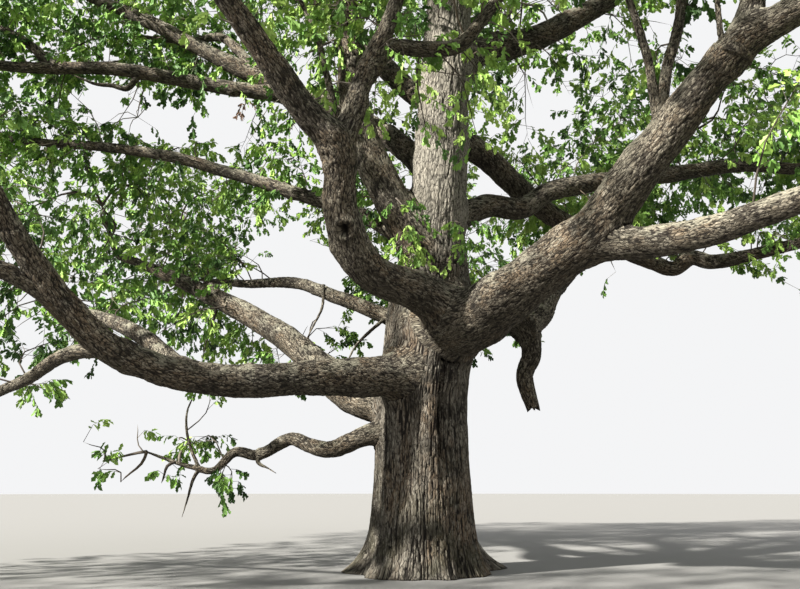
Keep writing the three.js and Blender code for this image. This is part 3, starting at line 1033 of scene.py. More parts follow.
# How the skins settle on each other and take their bark
SETTLE_STEPS = 9
SETTLED = 0.002
BLEND_SHARE = 0.9
NEAR_THICK = 1.35
NEAR_BLEND = 1.2
MOST_LIFT = 1.5
DEPTH_POWER = 0.75
FADE_ROWS = 6
MEAN_HEIGHT = 0.6
OFF_GROUND = 0.004
MAP_LOW = 0.02
MAP_HIGH = 0.98
CAP_LOW = 0.005
CAP_HIGH = 0.995
CAP_CRACK = 0.6

# How the frame's limbs taper from their collars
TAPER_POWER = 1.6
COLLAR_RUN = 3.2


@dataclass(frozen=True)
class Knots:
    """Swellings and healed scars along a limb."""

    apart: float = 1.5
    height: float = 0.2
    width: float = 0.55
    healed: float = 0.55

    def swell(self, runs: Array, turns: Array, radii: Array, seed: int) -> Array:
        """Work out how far the knots stand out.

        Args:
            runs: The run of each row.
            turns: The turn of each column.
            radii: The limb's radius at each row.
            seed: Picks their places.

        Returns:
            The height at each point of the grid.
        """
        count = int((runs[-1] - runs[0]) / self.apart)
        total = np.zeros((len(runs), len(turns)))
        for k in range(count):
            run = runs[0] + (k + float(scatter(seed, k, 1)[0])) * self.apart
            radius = float(np.interp(run, runs, radii))
            side = (turns - float(scatter(seed, k, 2)[0]) + 0.5) % 1 - 0.5
            size = 0.6 + 0.8 * float(scatter(seed, k, 3)[0])
            away = np.hypot((runs - run)[:, None], (2 * math.pi * radius * side)[None])
            away /= self.width * radius * size
            bump = np.exp(-away ** 2)
            if scatter(seed, k, 4)[0] > self.healed:
                bump = bump - 0.85 * np.exp(-(2.4 * away) ** 2)
            total += self.height * radius * size * bump
        return total


@dataclass(frozen=True)
class Limb:
    """One tapering limb by its bends, from inside its parent to its tip."""

    name: str
    collar: float
    body: float
    tip: float
    bends: tuple[Spot, ...]
    ragged: float = 0.0

    def radius(self, runs: Array, whole: float) -> Array:
        """Give the limb's radius along its run, as the frame's solid has it.

        Args:
            runs: Distances along the limb.
            whole: The solid's whole length.

        Returns:
            The radius at each.
        """
        taper = 1 - np.clip(runs / whole, 0, 1) ** TAPER_POWER
        collar = self.collar * np.exp(-runs / (COLLAR_RUN * self.body))
        return self.tip + (self.body - self.tip) * taper + collar


LIMBS: tuple[Limb, ...] = (
    Limb("left_low_arm", 0.22, 0.3, 0.075, (
        (0, -0.3, 3.68), (-1.52, -1.3, 3.46), (-3.38, -2.4, 3.22), (-4.88, -3.3, 3.64), (-5.87, -4.2, 4.86),
        (-6.5, -5.3, 6.15), (-7.7, -6.2, 7.5))),
    Limb("left_low_arm_fork", 0.04, 0.125, 0.065, (
        (-5.38, -3.65, 4.08), (-6.15, -4.3, 4.52), (-7.36, -5.3, 4.8), (-8.7, -5.5, 4.8),
        (-10.2, -5.2, 5.25))),
    Limb("left_low_arm_side", 0.04, 0.115, 0.06, (
        (-4.7, -3.18, 3.56), (-5.5, -3, 3.58), (-6.97, -1.8, 3.22), (-8.17, -1, 3.05), (-9.2, -0.7, 3.2))),
    Limb("left_low_arm_rear", 0.04, 0.145, 0.07, (
        (-3.95, -2.7, 3.34), (-4.89, -2, 4.06), (-5.89, -1, 4.5), (-7.5, 0.2, 5.19), (-8.5, 0.9, 5.7))),
    Limb("front_right_arm", 0.3, 0.43, 0.095, (
        (0.33, -0.25, 4.56), (0.81, -1.15, 4.5), (1.84, -2.65, 5.03), (2.48, -3.55, 5.36),
        (3.25, -4.3, 6.36), (4.31, -5.2, 7.58), (4.95, -5.85, 7.8), (6.7, -7.2, 8.5))),
    Limb("front_left_arm", 0.15, 0.33, 0.09, (
        (0.64, -0.85, 4.56), (-0.11, -1.6, 4.83), (-1.05, -2.35, 5.08), (-1.48, -3, 5.93),
        (-1.49, -3.35, 6.8), (-2.04, -3.8, 7.39), (-3.03, -4.75, 8.56), (-4.3, -6, 9.8))),
    Limb("front_right_upright", 0.06, 0.175, 0.075, (
        (4.23, -5.13, 7.42), (4.52, -5.35, 8.06), (4.56, -5.6, 8.7), (4.75, -6.2, 9.6),
        (4.95, -6.8, 10.6))),
    Limb("front_right_low_bough", 0.05, 0.24, 0.075, (
        (2.3, -3.3, 5.28), (3.13, -3.95, 5.03), (4, -4.65, 5.03), (5.38, -5.9, 5.33), (6.9, -6.7, 5.85))),
    Limb("front_right_riser", 0.05, 0.095, 0.05, (
        (3.3, -4.32, 6.36), (3.45, -4.3, 7), (3.7, -4.2, 7.94), (4.02, -4, 8.78), (4.6, -3.6, 10.5))),
    Limb("front_left_upright", 0.06, 0.18, 0.07, (
        (-1.5, -3.35, 6.74), (-1.26, -3.4, 7.45), (-0.95, -3.4, 8.33), (-0.59, -3.5, 9.16),
        (-0.1, -4.2, 10.7))),
    Limb("front_left_crook", 0.03, 0.14, 0.06, (
        (-0.98, -3.4, 8.23), (-0.62, -3.25, 8.72), (-0.03, -3.1, 8.83), (0.56, -3, 8.98), (1.06, -3, 9.56),
        (1.81, -3.3, 10.62), (2.2, -3.6, 11.3))),
    Limb("left_tall_bough", 0.1, 0.35, 0.11, (
        (0.17, -0.15, 5.9), (-0.62, -0.4, 7.06), (-1.18, -0.35, 8.2), (-1.52, 0, 9.74), (-1.7, 0.3, 12.2),
        (-2.3, -0.3, 14), (-2.7, -1, 15.6))),
    Limb("rear_left_bough", 0.12, 0.33, 0.11, (
        (-0.1, 0.05, 2.9), (-1.27, 0.7, 3.28), (-2.63, 1.7, 4.44), (-4.17, 2.7, 5.53), (-5.65, 3.6, 6.37),
        (-7.4, 4.6, 7.3))),
    Limb("crooked_low_bough", 0.11, 0.165, 0.05, (
        (-0.45, -0.15, 2.64), (-1.15, -0.1, 2.45), (-1.8, 0.1, 2.21), (-2.22, 0.3, 2.29),
        (-2.61, 0.45, 2.44), (-3.27, 0.7, 2.18), (-3.74, 0.85, 2.24), (-4.22, 1.05, 1.88),
        (-4.7, 1.2, 1.95))),
    Limb("rear_left_slim_bough", 0.06, 0.16, 0.07, (
        (0, 0.3, 4.56), (-1.2, 1, 5.21), (-2.78, 2.3, 6.07), (-4.43, 3.8, 6.5), (-5.4, 5.1, 6.9))),
    Limb("middle_left_bough", 0.07, 0.165, 0.085, (
        (0.15, 0.1, 6.05), (-1.11, 0.9, 7.18), (-2.9, 1.5, 7.99), (-4.61, 2.1, 8.76), (-6.9, 2.7, 9.59),
        (-9.61, 3.4, 10.11), (-11.3, 3.9, 10.5))),
    Limb("upper_left_bough", 0.06, 0.255, 0.12, (
        (0.4, 0.05, 7.6), (-0.57, 1, 8.98), (-2, 1.8, 10.15), (-4.46, 2.6, 11.75), (-7.1, 3, 13.35),
        (-10.1, 3.6, 15.2))),
    Limb("upper_left_fork", 0.03, 0.19, 0.105, (
        (-2.3, 1.9, 10.38), (-3.15, 2.25, 10.78), (-5.63, 2.3, 11.25), (-7.3, 2.15, 11.48),
        (-10.18, 2, 11.48), (-11.7, 1.8, 12))),
    Limb("upper_left_side", 0.03, 0.13, 0.075, (
        (-3.9, 2.42, 11.38), (-4.7, 2.9, 12.5), (-5.2, 3.25, 13.03), (-6.16, 3.8, 13.3),
        (-7.2, 4.2, 13.6))),
    Limb("right_bough", 0.06, 0.235, 0.11, (
        (0.3, 0.05, 6.65), (1.42, 0.5, 7.29), (2.12, 0.8, 7.38), (2.85, 1.1, 7.88), (5.15, 2, 8.51),
        (7.88, 2.9, 9.28), (9.76, 3.5, 9.46), (11.5, 4, 9.9))),
    Limb("right_falling_bough", 0.06, 0.27, 0.065, (
        (0.3, 0.05, 8.75), (1.29, 0.8, 8.61), (2.38, 1.7, 8.07), (3.57, 2.5, 7.58), (5.57, 2.95, 6.83),
        (6.05, 2.85, 6.64), (6.43, 2.65, 6.85), (6.8, 2.45, 6.68), (8.26, 1.2, 6.69), (9.7, -0.1, 6.9))),
    Limb("upper_right_bough", 0.07, 0.32, 0.15, (
        (0.55, 0.05, 10), (1.33, 0.6, 11.06), (2.82, 1.2, 11.77), (4.61, 1.9, 13.24), (6.9, 2.5, 15.3))),
    Limb("broken_bough", 0.06, 0.29, 0.14, (
        (0.3, 0.25, 4.8), (1.79, 1.25, 5.06), (2.3, 1.5, 4.74), (2.4, 1.62, 4.3), (2.25, 1.7, 3.85),
        (2.4, 1.78, 3.2)), ragged=0.12),
    Limb("broken_bough_elbow", 0.03, 0.31, 0.11, (
        (2.12, 1.38, 4.86), (2.64, 1.85, 5.28), (3, 2.5, 5.9), (3.87, 3.5, 6.96), (4.99, 4.6, 8.39),
        (6.7, 6, 10.3))),
    Limb("back_right_bough", 0.09, 0.26, 0.11, (
        (0.25, 0.15, 4.7), (1.5, 2.4, 5.7), (3.2, 5.2, 6.9), (4.7, 7.6, 8.3))),
    Limb("back_bough", 0.11, 0.3, 0.11, (
        (0.06, 0.1, 4.3), (0.3, 2.2, 5), (-0.2, 5.4, 6), (0.5, 8.9, 7.3))),
    Limb("back_left_bough", 0.09, 0.28, 0.115, (
        (-0.05, 0.2, 3.65), (-1.5, 2.3, 3.95), (-2.95, 4.2, 4.9), (-5.4, 7, 6.65), (-6.7, 8.6, 8.1))),
    Limb("top_left_bough", 0.05, 0.25, 0.115, (
        (0.45, 0.05, 9.35), (-0.23, 1, 10.28), (-1.69, 2, 12.47), (-3.4, 2.9, 14.7), (-5.3, 4.2, 16.8))),
    Limb("top_back_bough", 0.06, 0.22, 0.1, (
        (0.6, 0.05, 11.2), (1, 1.6, 12.3), (1.9, 3.3, 13.6))),
    Limb("top_front_bough", 0.06, 0.23, 0.1, (
        (0.66, 0.08, 13), (1.1, -1.1, 14.7), (2.1, -3.2, 17))),
)

# Slim limbs that the frame's solids leave out
SHOOTS: tuple[Limb, ...] = (
    Limb("riser_fork", 0.02, 0.075, 0.022, (
        (3.47, -4.3, 6.75), (3.39, -4.3, 7.15), (3.36, -4.25, 7.92), (3.29, -4.2, 8.47), (3.18, -4.1, 9.07),
        (3.07, -4.0, 9.89), (2.93, -3.8, 11.0))),
    Limb("riser_side_shoot", 0.01, 0.04, 0.014, (
        (3.72, -4.2, 7.95), (3.79, -4.15, 8.24), (3.84, -4.3, 8.6), (3.92, -4.4, 9.22), (4.04, -4.4, 9.95))),
    Limb("arm_sky_shoot", 0.02, 0.045, 0.014, (
        (4.08, -5.05, 7.25), (4.1, -5.18, 7.5), (4.08, -5.2, 7.82), (4.09, -5.2, 8.31), (4.13, -5.1, 9.05),
        (4.14, -5.0, 9.82))),
    Limb("tall_side_shoot", 0.03, 0.085, 0.02, (
        (-1.2, -0.35, 7.95), (-1.5, -0.38, 8.3), (-1.74, -0.5, 8.84), (-1.99, -0.5, 9.92),
        (-2.18, -0.5, 10.67), (-2.6, -0.4, 11.64), (-3.1, -0.2, 12.78))),
    Limb("fork_riser", 0.03, 0.12, 0.05, (
        (-8.8, 2.07, 11.5), (-9.14, 2.1, 11.7), (-9.47, 2.1, 12.06), (-10.49, 2.3, 12.72),
        (-12.05, 2.6, 13.72))),
    Limb("fork_stub", 0.03, 0.075, 0.02, (
        (-6.85, 2.25, 11.5), (-6.97, 2.2, 11.22), (-7.14, 2.15, 10.96), (-7.46, 2.1, 11.02),
        (-7.87, 2.1, 11.05), (-8.26, 2.1, 11.22))),
    Limb("slim_hanging_twig", 0.01, 0.032, 0.01, (
        (-2.14, 1.5, 5.85), (-2.15, 1.42, 5.3), (-2.34, 1.3, 4.84), (-2.5, 1.3, 4.47))),
    Limb("slim_strut", 0.01, 0.04, 0.014, (
        (-0.66, 0.62, 4.98), (-1.03, 0.5, 4.64), (-1.35, 0.45, 4.3), (-1.5, 0.4, 4.0))),
    Limb("rear_hanging_twig", 0.01, 0.035, 0.01, (
        (-4.84, 3.05, 5.75), (-4.86, 3.0, 5.43), (-4.96, 2.9, 5.0), (-5.04, 2.9, 4.5))),
    Limb("crooked_riser", 0.01, 0.034, 0.01, (
        (-4.55, 1.18, 1.93), (-4.71, 1.2, 2.24), (-4.86, 1.25, 2.68), (-4.88, 1.3, 3.1),
        (-4.75, 1.35, 3.48))),
    Limb("crooked_hanging_twig", 0.01, 0.036, 0.01, (
        (-4.5, 1.17, 1.92), (-4.62, 1.13, 1.72), (-4.69, 1.05, 1.35), (-4.74, 1.0, 1.1))),
    Limb("crooked_spur", 0.02, 0.05, 0.015, (
        (-3.2, 0.72, 2.24), (-3.25, 0.62, 2.02), (-3.04, 0.55, 1.9))),
)
KNOT_HOLES: dict[str, tuple[KnotHole, ...]] = {
    "front_left_arm": (KnotHole((-1.36, -3.3, 5.41), 0.13),),
}


@dataclass(frozen=True)
class Mass:
    """A mass of foliage: the limb that bears it, its middle past that limb's tip, and its half width."""

    on: str
    out: Spot
    reach: float
    leafy: float = 1.0


MASS_SQUASH = 0.66
MASSES: tuple[Mass, ...] = (
    Mass("left_low_arm", (-0.9, -2, 1.7), 3.9),
    Mass("left_low_arm_fork", (-1.9, 0, 0.9), 3.5),
    Mass("left_low_arm_side", (-1.4, 0.2, 0.7), 2.6),
    Mass("left_low_arm_rear", (-1.6, 0.9, 1), 3.2),
    Mass("front_right_arm", (1.2, -1.9, 1.7), 3.9),
    Mass("front_left_arm", (-2.3, 0.2, 2.3), 4.2),
    Mass("front_right_upright", (1.9, 0.4, 2.2), 4),
    Mass("front_right_low_bough", (2, -0.5, 1), 3.2),
    Mass("front_left_upright", (-0.3, -2.2, 2.5), 4),
    Mass("front_left_crook", (1.5, 0.3, 2.4), 4),
    Mass("left_tall_bough", (-1.5, -1.4, 2.2), 4.8),
    Mass("rear_left_bough", (-1.4, 0.9, 1.9), 3.3),
    Mass("crooked_low_bough", (-1, 0.2, 0.3), 1.5, leafy=0.3),
    Mass("rear_left_slim_bough", (-0.9, 1.5, 0.1), 2.6),
    Mass("middle_left_bough", (-1.5, 0.6, 0.2), 3.5),
    Mass("upper_left_bough", (-0.6, 0.9, 1.7), 4.1),
    Mass("upper_left_fork", (-0.9, -1.7, 0.9), 3.8),
    Mass("upper_left_side", (-1.3, 1.5, 0.3), 3.7),
    Mass("right_bough", (1.1, 0.4, 0.9), 3.9),
    Mass("right_falling_bough", (1.9, -1, 1.2), 3.8),
    Mass("upper_right_bough", (1.9, -1.3, 1.8), 4.7),
    Mass("broken_bough_elbow", (1.9, 1.2, 2.3), 4.4),
    Mass("back_right_bough", (0.9, 1.7, 2), 4),
    Mass("back_bough", (-0.2, 1.9, 2.7), 4.4),
    Mass("back_left_bough", (-1.3, 1.7, 2.2), 4),
    Mass("top_left_bough", (-0.3, 1.5, 2.4), 4.7),
    Mass("top_back_bough", (1.5, 3.2, 3), 4.7),
    Mass("top_front_bough", (1.2, -1.7, 1.2), 4.6),
    Mass("trunk", (-0.2, 0.1, -0.35), 4.0),
)


@dataclass(frozen=True)
class Toe:
    """One toe of the root flare."""

    bearing: float
    reach: float
    spread: float


@dataclass
class GrownLimb:
    """A limb laid out in space: the frame's path, then the bough that it goes on as inside its mass."""

    limb: Limb
    seed: int
    onward: Array | None = None
    spots: Array = field(init=False)
    runs: Array = field(init=False)
    radii: Array = field(init=False)
    whole: float = field(init=False)

    def __post_init__(self) -> None:
        """Lay out the path, the radii and the small wander of the limb."""
        fixed = smooth_path(np.array(self.limb.bends), PATH_STEPS)
        self.whole = float(runs_of(fixed)[-1])
        spots = fixed
        if self.onward is not None:
            spots = np.vstack([fixed, self.onward])
        runs = runs_of(spots)
        radii = self.limb.radius(np.minimum(runs, self.whole), self.whole)
        if self.onward is not None:
            past = np.clip((runs - self.whole) / (runs[-1] - self.whole), 0, 1)
            radii = radii * (1 - past) + min(BOUGH_END, 0.4 * self.limb.tip) * past
        wander = np.stack([soft_noise(spots + 40 * axis, 8 * self.limb.body, self.seed + axis)
                           for axis in range(3)], axis=1)
        self.spots = spots + wander * (0.3 * radii * ease(0, 4 * self.limb.body, runs))[:, None]
        self.runs = runs_of(self.spots)
        self.radii = radii

    def line(self) -> Line:
        """Give the limb as a coarse line for measuring."""
        picked = np.unique(np.append(np.arange(0, len(self.spots), 3), len(self.spots) - 1))
        return Line(self.spots[picked], self.radii[picked])

    def skin(self, detail: float) -> Skin:
        """Lay a grid of points round the limb.

        Args:
            detail: Distance between neighbours on the limb's body.

        Returns:
            The grid.
        """
        columns = int(np.clip(2 * math.pi * self.limb.body / detail, *SKIN_COLUMNS))
        rows = int(np.clip(self.runs[-1] / (LONG_FACES * detail), SKIN_ROWS, MOST_FACES / columns))
        runs = np.linspace(0, self.runs[-1], rows)
        centres = places_at(runs, self.runs, self.spots)
        radii = np.interp(runs, self.runs, self.radii)
        _, across, square = carried_sections(centres)
        turns = np.arange(columns) / columns
        angles = 2 * math.pi * turns
        outward = (np.cos(angles)[None, :, None] * across[:, None]
                   + np.sin(angles)[None, :, None] * square[:, None])
        body = self.limb.body
        flat = round_limb(body, angles, runs)
        lumps = soft_noise(flat, 1.6 * body, self.seed + 11)
        lumps += 0.6 * soft_noise(flat, 0.7 * body, self.seed + 12)
        reach = radii[:, None] * (1 + LUMPS * lumps.reshape(rows, columns))
        reach += Knots().swell(runs, turns, radii, self.seed + 13)
        blend = BLEND_SHARE * radii
        return Skin(f"bark_{self.limb.name}", centres, outward, reach, runs, turns, blend, self.seed, radii,
                    KNOT_HOLES.get(self.limb.name, ()), self.limb.ragged)

    def detail(self) -> float:
        """Give the grid step of the limb's bark, which is finer near the viewer."""
        away = float(np.linalg.norm(self.spots - np.array(CAMERA.place), axis=1).min())
        return float(np.clip(DETAIL_SHARE * away, *DETAIL_RANGE))

    def build(self, others: Sequence[Line], bark: bpy.types.Material) -> None:
        """Make the limb's bark.

        Args:
            others: The limbs near it.
            bark: Its material.
        """
        ridges = next(ridges for least, ridges in LIMB_RIDGES if self.limb.body >= least)
        nodes = [self.limb.name] if self.limb in LIMBS else []
        self.skin(self.detail()).bark(ridges, others).make([bark], "bough_bark", nodes)


def pointed(limb: Limb) -> Array | None:
    """Let a limb that bears no mass run out to a point.

    Args:
        limb: The limb.

    Returns:
        The path past its tip, or nothing where it is broken off.
    """
    if limb.ragged:
        return None
    before, tip = np.array(limb.bends[-2:])
    return tip + unit(tip - before) * (TIP_RUN * limb.tip * np.linspace(0.2, 1.0, 5)[:, None])


PATH_STEPS = 10
BOUGH_END = 0.028
TIP_RUN = 14.0

# The grid of a limb's skin
DETAIL_SHARE = 0.0016
DETAIL_RANGE = (0.014, 0.03)
SKIN_COLUMNS = (20, 190)
SKIN_ROWS = 40
LONG_FACES = 1.7
MOST_FACES = 94000
LUMPS = 0.08


@dataclass
class Trunk:
    """The trunk: a short thick shaft on a flare of toes, going on as a slimmer leader."""

    shaft: tuple[tuple[float, float, float, float], ...] = (
        (0, 0, 0, 0.935), (1.3, -0.02, 0, 0.9), (3.2, 0, 0, 0.85), (5.1, 0.18, 0, 0.81),
        (6.3, 0.25, 0, 0.58), (8.4, 0.4, 0.02, 0.54), (12.0, 0.64, 0.06, 0.465), (16.0, 0.7, 0.12, 0.33),
        (19.0, 0.62, 0.16, 0.21), (21.5, 0.52, 0.2, 0.11))
    flare_round: float = 0.09
    flare_fall: float = 0.43
    toes: tuple[Toe, ...] = (
        Toe(36, 0.93, 13), Toe(75, 0.42, 20), Toe(122, 0.56, 18), Toe(168, 0.6, 20), Toe(214, 0.33, 18),
        Toe(252, 0.13, 15), Toe(290, 0.15, 14), Toe(326, 0.21, 15), Toe(356, 0.24, 16))
    split: float = 5.7
    low_grid: tuple[int, int] = (186, 520)
    leader_grid: tuple[int, int] = (440, 210)
    leader_bark: tuple[float, float] = (5.1, 5.65)
    fluting: float = 0.045
    low_swell: float = 1.6
    low_fall: float = 1.1
    step_bearing: float = 287.0
    step_depth: float = 0.28
    step_width: float = 16.0
    step_edge: float = 1.6
    step_foot: tuple[float, float] = (1.3, 2.6)
    step_head: tuple[float, float] = (4.8, 5.7)
    rib_bearing: float = 11.0
    rib_width: float = 8.5
    rib_height: float = 0.08
    knots: Knots = Knots(apart=2.3, height=0.05, width=0.3)
    line_foot: float = 0.9
    line_step: float = 0.6
    seed: int = 3
    onward: Array | None = None

    def shaft_at(self, heights: Array) -> tuple[Array, Array]:
        """Give the shaft's middle and radius at heights.

        Args:
            heights: Heights above the ground.

        Returns:
            The middles and the radii.
        """
        table = np.array(self.shaft, dtype=float)
        if self.onward is not None:
            end = self.onward[-1]
            table = np.vstack([table, [end[2], end[0], end[1], BOUGH_END]])
        x, y, radius = (np.interp(heights, table[:, 0], table[:, k]) for k in (1, 2, 3))
        return np.stack([x, y, heights], axis=1), radius

    def flare(self, degrees: Array, heights: Array) -> Array:
        """Give how far the root flare stands out from the shaft.

        Args:
            degrees: Bearings of the columns.
            heights: Heights of the rows.

        Returns:
            The flare at each point of the grid.
        """
        reach = np.full(len(degrees), self.flare_round)
        for toe in self.toes:
            reach += toe.reach * np.exp(-(turn_from(degrees, toe.bearing) / toe.spread) ** 2)
        return reach[None] * np.exp(-heights / self.flare_fall)[:, None]

    def line(self) -> Line:
        """Give the shaft as a coarse line for measuring.

        Returns:
            The line, from above the flare to the leader's end.
        """
        heights = np.append(np.arange(self.line_foot, self.top(), self.line_step), self.top())
        middles, radii = self.shaft_at(heights)
        return Line(middles, radii)

    def top(self) -> float:
        """Give the height at which the leader ends."""
        return float(self.onward[-1][2]) if self.onward is not None else self.shaft[-1][0]

    def skin(self, name: str, heights: Array, columns: int) -> Skin:
        """Lay a grid of points round a stretch of the trunk.

        Args:
            name: The piece's name.
            heights: The rows' heights.
            columns: Points round the trunk.

        Returns:
            The grid.
        """
        middles, radii = self.shaft_at(heights)
        turns = np.arange(columns) / columns
        angles = 2 * math.pi * turns
        degrees = np.degrees(angles)
        ring = np.stack([np.cos(angles), np.sin(angles), np.zeros(columns)], axis=1)
        outward = np.broadcast_to(ring[None], (len(heights), columns, 3)).copy()
        flutes = round_limb(1.0, angles, 0.16 * heights)
        waves = soft_noise(flutes, 0.42, self.seed) + 0.5 * soft_noise(flutes, 0.2, self.seed + 1)
        deeper = 1 + self.low_swell * np.exp(-heights / self.low_fall)
        reach = radii[:, None] * (1 + self.fluting * deeper[:, None] * waves.reshape(len(heights), columns))
        reach = reach + self.flare(degrees, heights)
        turn = turn_from(degrees, self.step_bearing)
        window = ease(*self.step_foot, heights) * (1 - ease(*self.step_head, heights))
        step = np.where(turn > 0, np.exp(-turn / self.step_width), np.exp(-(turn / self.step_edge) ** 2))
        reach -= self.step_depth * step[None] * window[:, None]
        rib = np.exp(-((turn + self.rib_bearing) / self.rib_width) ** 2)
        reach += self.rib_height * rib[None] * window[:, None]
        reach += self.knots.swell(heights, turns, radii, self.seed + 5)
        return Skin(name, middles, outward, reach, heights, turns, 0.55 * radii, self.seed, radii)

    def build(self, others: Sequence[Line], bark: bpy.types.Material) -> None:
        """Make the trunk's bark, the short shaft and the leader each a piece.

        Args:
            others: The limbs that it bears.
            bark: Its material.
        """
        upper = (LEADER_RIDGES, *self.leader_bark)
        rows, columns = self.low_grid
        low = self.skin("bark_trunk", np.linspace(0, self.split, rows), columns)
        low.bark(TRUNK_RIDGES, others, floor=True, upper=upper).make([bark], "trunk_bark", ["trunk"])
        rows, columns = self.leader_grid
        leader = self.skin("bark_leader", np.linspace(self.split, self.top(), rows), columns)
        leader.bark(TRUNK_RIDGES, others, upper=upper).make([bark], "trunk_bark", ["trunk"])


TRUNK_RIDGES = Ridges(width=0.043, length=1.0, depth=0.032, breaks=0.2, wander=0.5)
LEADER_RIDGES = Ridges(width=0.06, length=0.5, depth=0.028, breaks=0.35)


# The relief of the limbs' bark, finer on slimmer limbs, by the least radius that has it
LIMB_RIDGES: tuple[tuple[float, Ridges], ...] = (
    (0.28, Ridges(width=0.05, length=0.16, depth=0.018, breaks=0.55)),
    (0.16, Ridges(width=0.043, length=0.13, depth=0.013, breaks=0.5)),
    (0.0, Ridges(width=0.034, length=0.1, depth=0.008, breaks=0.5)),
)


@dataclass(frozen=True)
class TwigForm:
    """The radii at both ends, the faces round and along, and the curve that some twigs share."""

    root: float
    end: float
    sides: int
    steps: int
    bow: float
    sag: float


SHOOT_FORM = TwigForm(0.018, 0.005, 4, 5, 0.15, 0.1)
FINE_FORM = TwigForm(0.006, 0.002, 3, 2, 0.12, 0.16)


@dataclass(frozen=True)
class Order:
    """One order of a mass's growth: how many, between which shares of its reach, and how long."""

    count: int
    nearest: float
    furthest: float
    shortest: float
    longest: float
    form: TwigForm


ORDERS = (
    Order(7, 0.42, 0.74, 0.7, 3.6, TwigForm(0.042, 0.014, 6, 6, 0.16, 0.03)),
    Order(38, 0.35, 0.9, 0.35, 2.3, TwigForm(0.017, 0.006, 4, 4, 0.18, 0.06)),
    Order(225, 0.25, 1.0, 0.14, 1.3, TwigForm(0.0075, 0.002, 3, 2, 0.14, 0.1)),
)
TRIES = 5
FULL_REACH = 3.5
SPACE_MARGIN = 0.025
STEM_BEFORE = 0.4
STEM_LEAVE = 0.3
LIMB_CLEARANCE = 0.06
CLEAR_SHARES = (0.4, 0.7, 1.0)
BOX_MARGIN = 0.25
HIGH_CROWN = (8.0, 14.0)
HIGH_GAIN = 0.3
LEAF_HANG = np.array([0.0, 0.0, 0.1])


@dataclass
class Twigs:
    """Curved twigs of one form, by the spots of each."""

    paths: Array
    form: TwigForm

    def tubes(self) -> tuple[Array, Array, Array]:
        """Skin every twig with a pointed tube.

        Returns:
            The points, the four-cornered faces and the three-cornered faces.
        """
        count, steps = self.paths.shape[:2]
        sides = self.form.sides
        across, square = crossways(unit(self.paths[:, -1] - self.paths[:, 0]))
        angles = 2 * math.pi * np.arange(sides) / sides
        ring = np.cos(angles)[:, None] * across[:, None] + np.sin(angles)[:, None] * square[:, None]
        rings = steps - 1
        radii = self.form.root + (self.form.end - self.form.root) * np.arange(rings) / rings
        body = self.paths[:, :-1, None] + ring[:, None] * radii[None, :, None, None]
        spots = np.vstack([body.reshape(-1, 3), self.paths[:, -1]])
        k = np.arange(sides)
        after = (k + 1) % sides
        base = np.arange(count)[:, None, None] * rings * sides
        low = base + np.arange(rings - 1)[None, :, None] * sides
        quads = np.stack([low + k, low + after, low + sides + after, low + sides + k], axis=3)
        last = (np.arange(count) * rings + rings - 1)[:, None] * sides
        tips = count * rings * sides + np.arange(count)[:, None] + 0 * k
        tris = np.stack([last + k, last + after, tips], axis=2)
        return spots, quads.reshape(-1, 4), tris.reshape(-1, 3)


@dataclass
class Leaves:
    """Leaves by their roots, directions and faces, with the number of the tint of each."""

    roots: Array
    ways: Array
    faces: Array
    lengths: Array
    tints: Array

    def blades(self) -> tuple[Array, Array]:
        """Give each leaf its lobed outline, folded along its rib and hanging at its tip.

        Returns:
            The points and the three-cornered faces.
        """
        side = LEAF_OUTLINE[:, 1]
        along = LEAF_OUTLINE[:, 0]
        spots_along = np.concatenate([[0.0], along, along, [1.0]])
        spots_side = np.concatenate([[0.0], side, -side, [0.0]])
        lift = LEAF_FOLD * np.abs(spots_side) - LEAF_DROOP * spots_along ** 2
        across = np.cross(self.faces, self.ways)
        size = self.lengths[:, None, None]
        spots = self.roots[:, None] + size * (
            spots_along[None, :, None] * self.ways[:, None]
            + spots_side[None, :, None] * across[:, None]
            + lift[None, :, None] * self.faces[:, None])
        firsts = np.arange(len(self.roots))[:, None, None] * LEAF_SPOTS
        return spots.reshape(-1, 3), (LEAF_FACES[None] + firsts).reshape(-1, 3)


LEAF_OUTLINE = np.array([[0.4, 0.23], [0.56, 0.13], [0.76, 0.25]])
LEAF_FACES = np.array([[0, 2, 1], [0, 7, 2], [2, 7, 3], [0, 4, 5], [0, 5, 7], [5, 6, 7]])
LEAF_SPOTS = 8
LEAF_FOLD = 0.3
LEAF_DROOP = 0.16


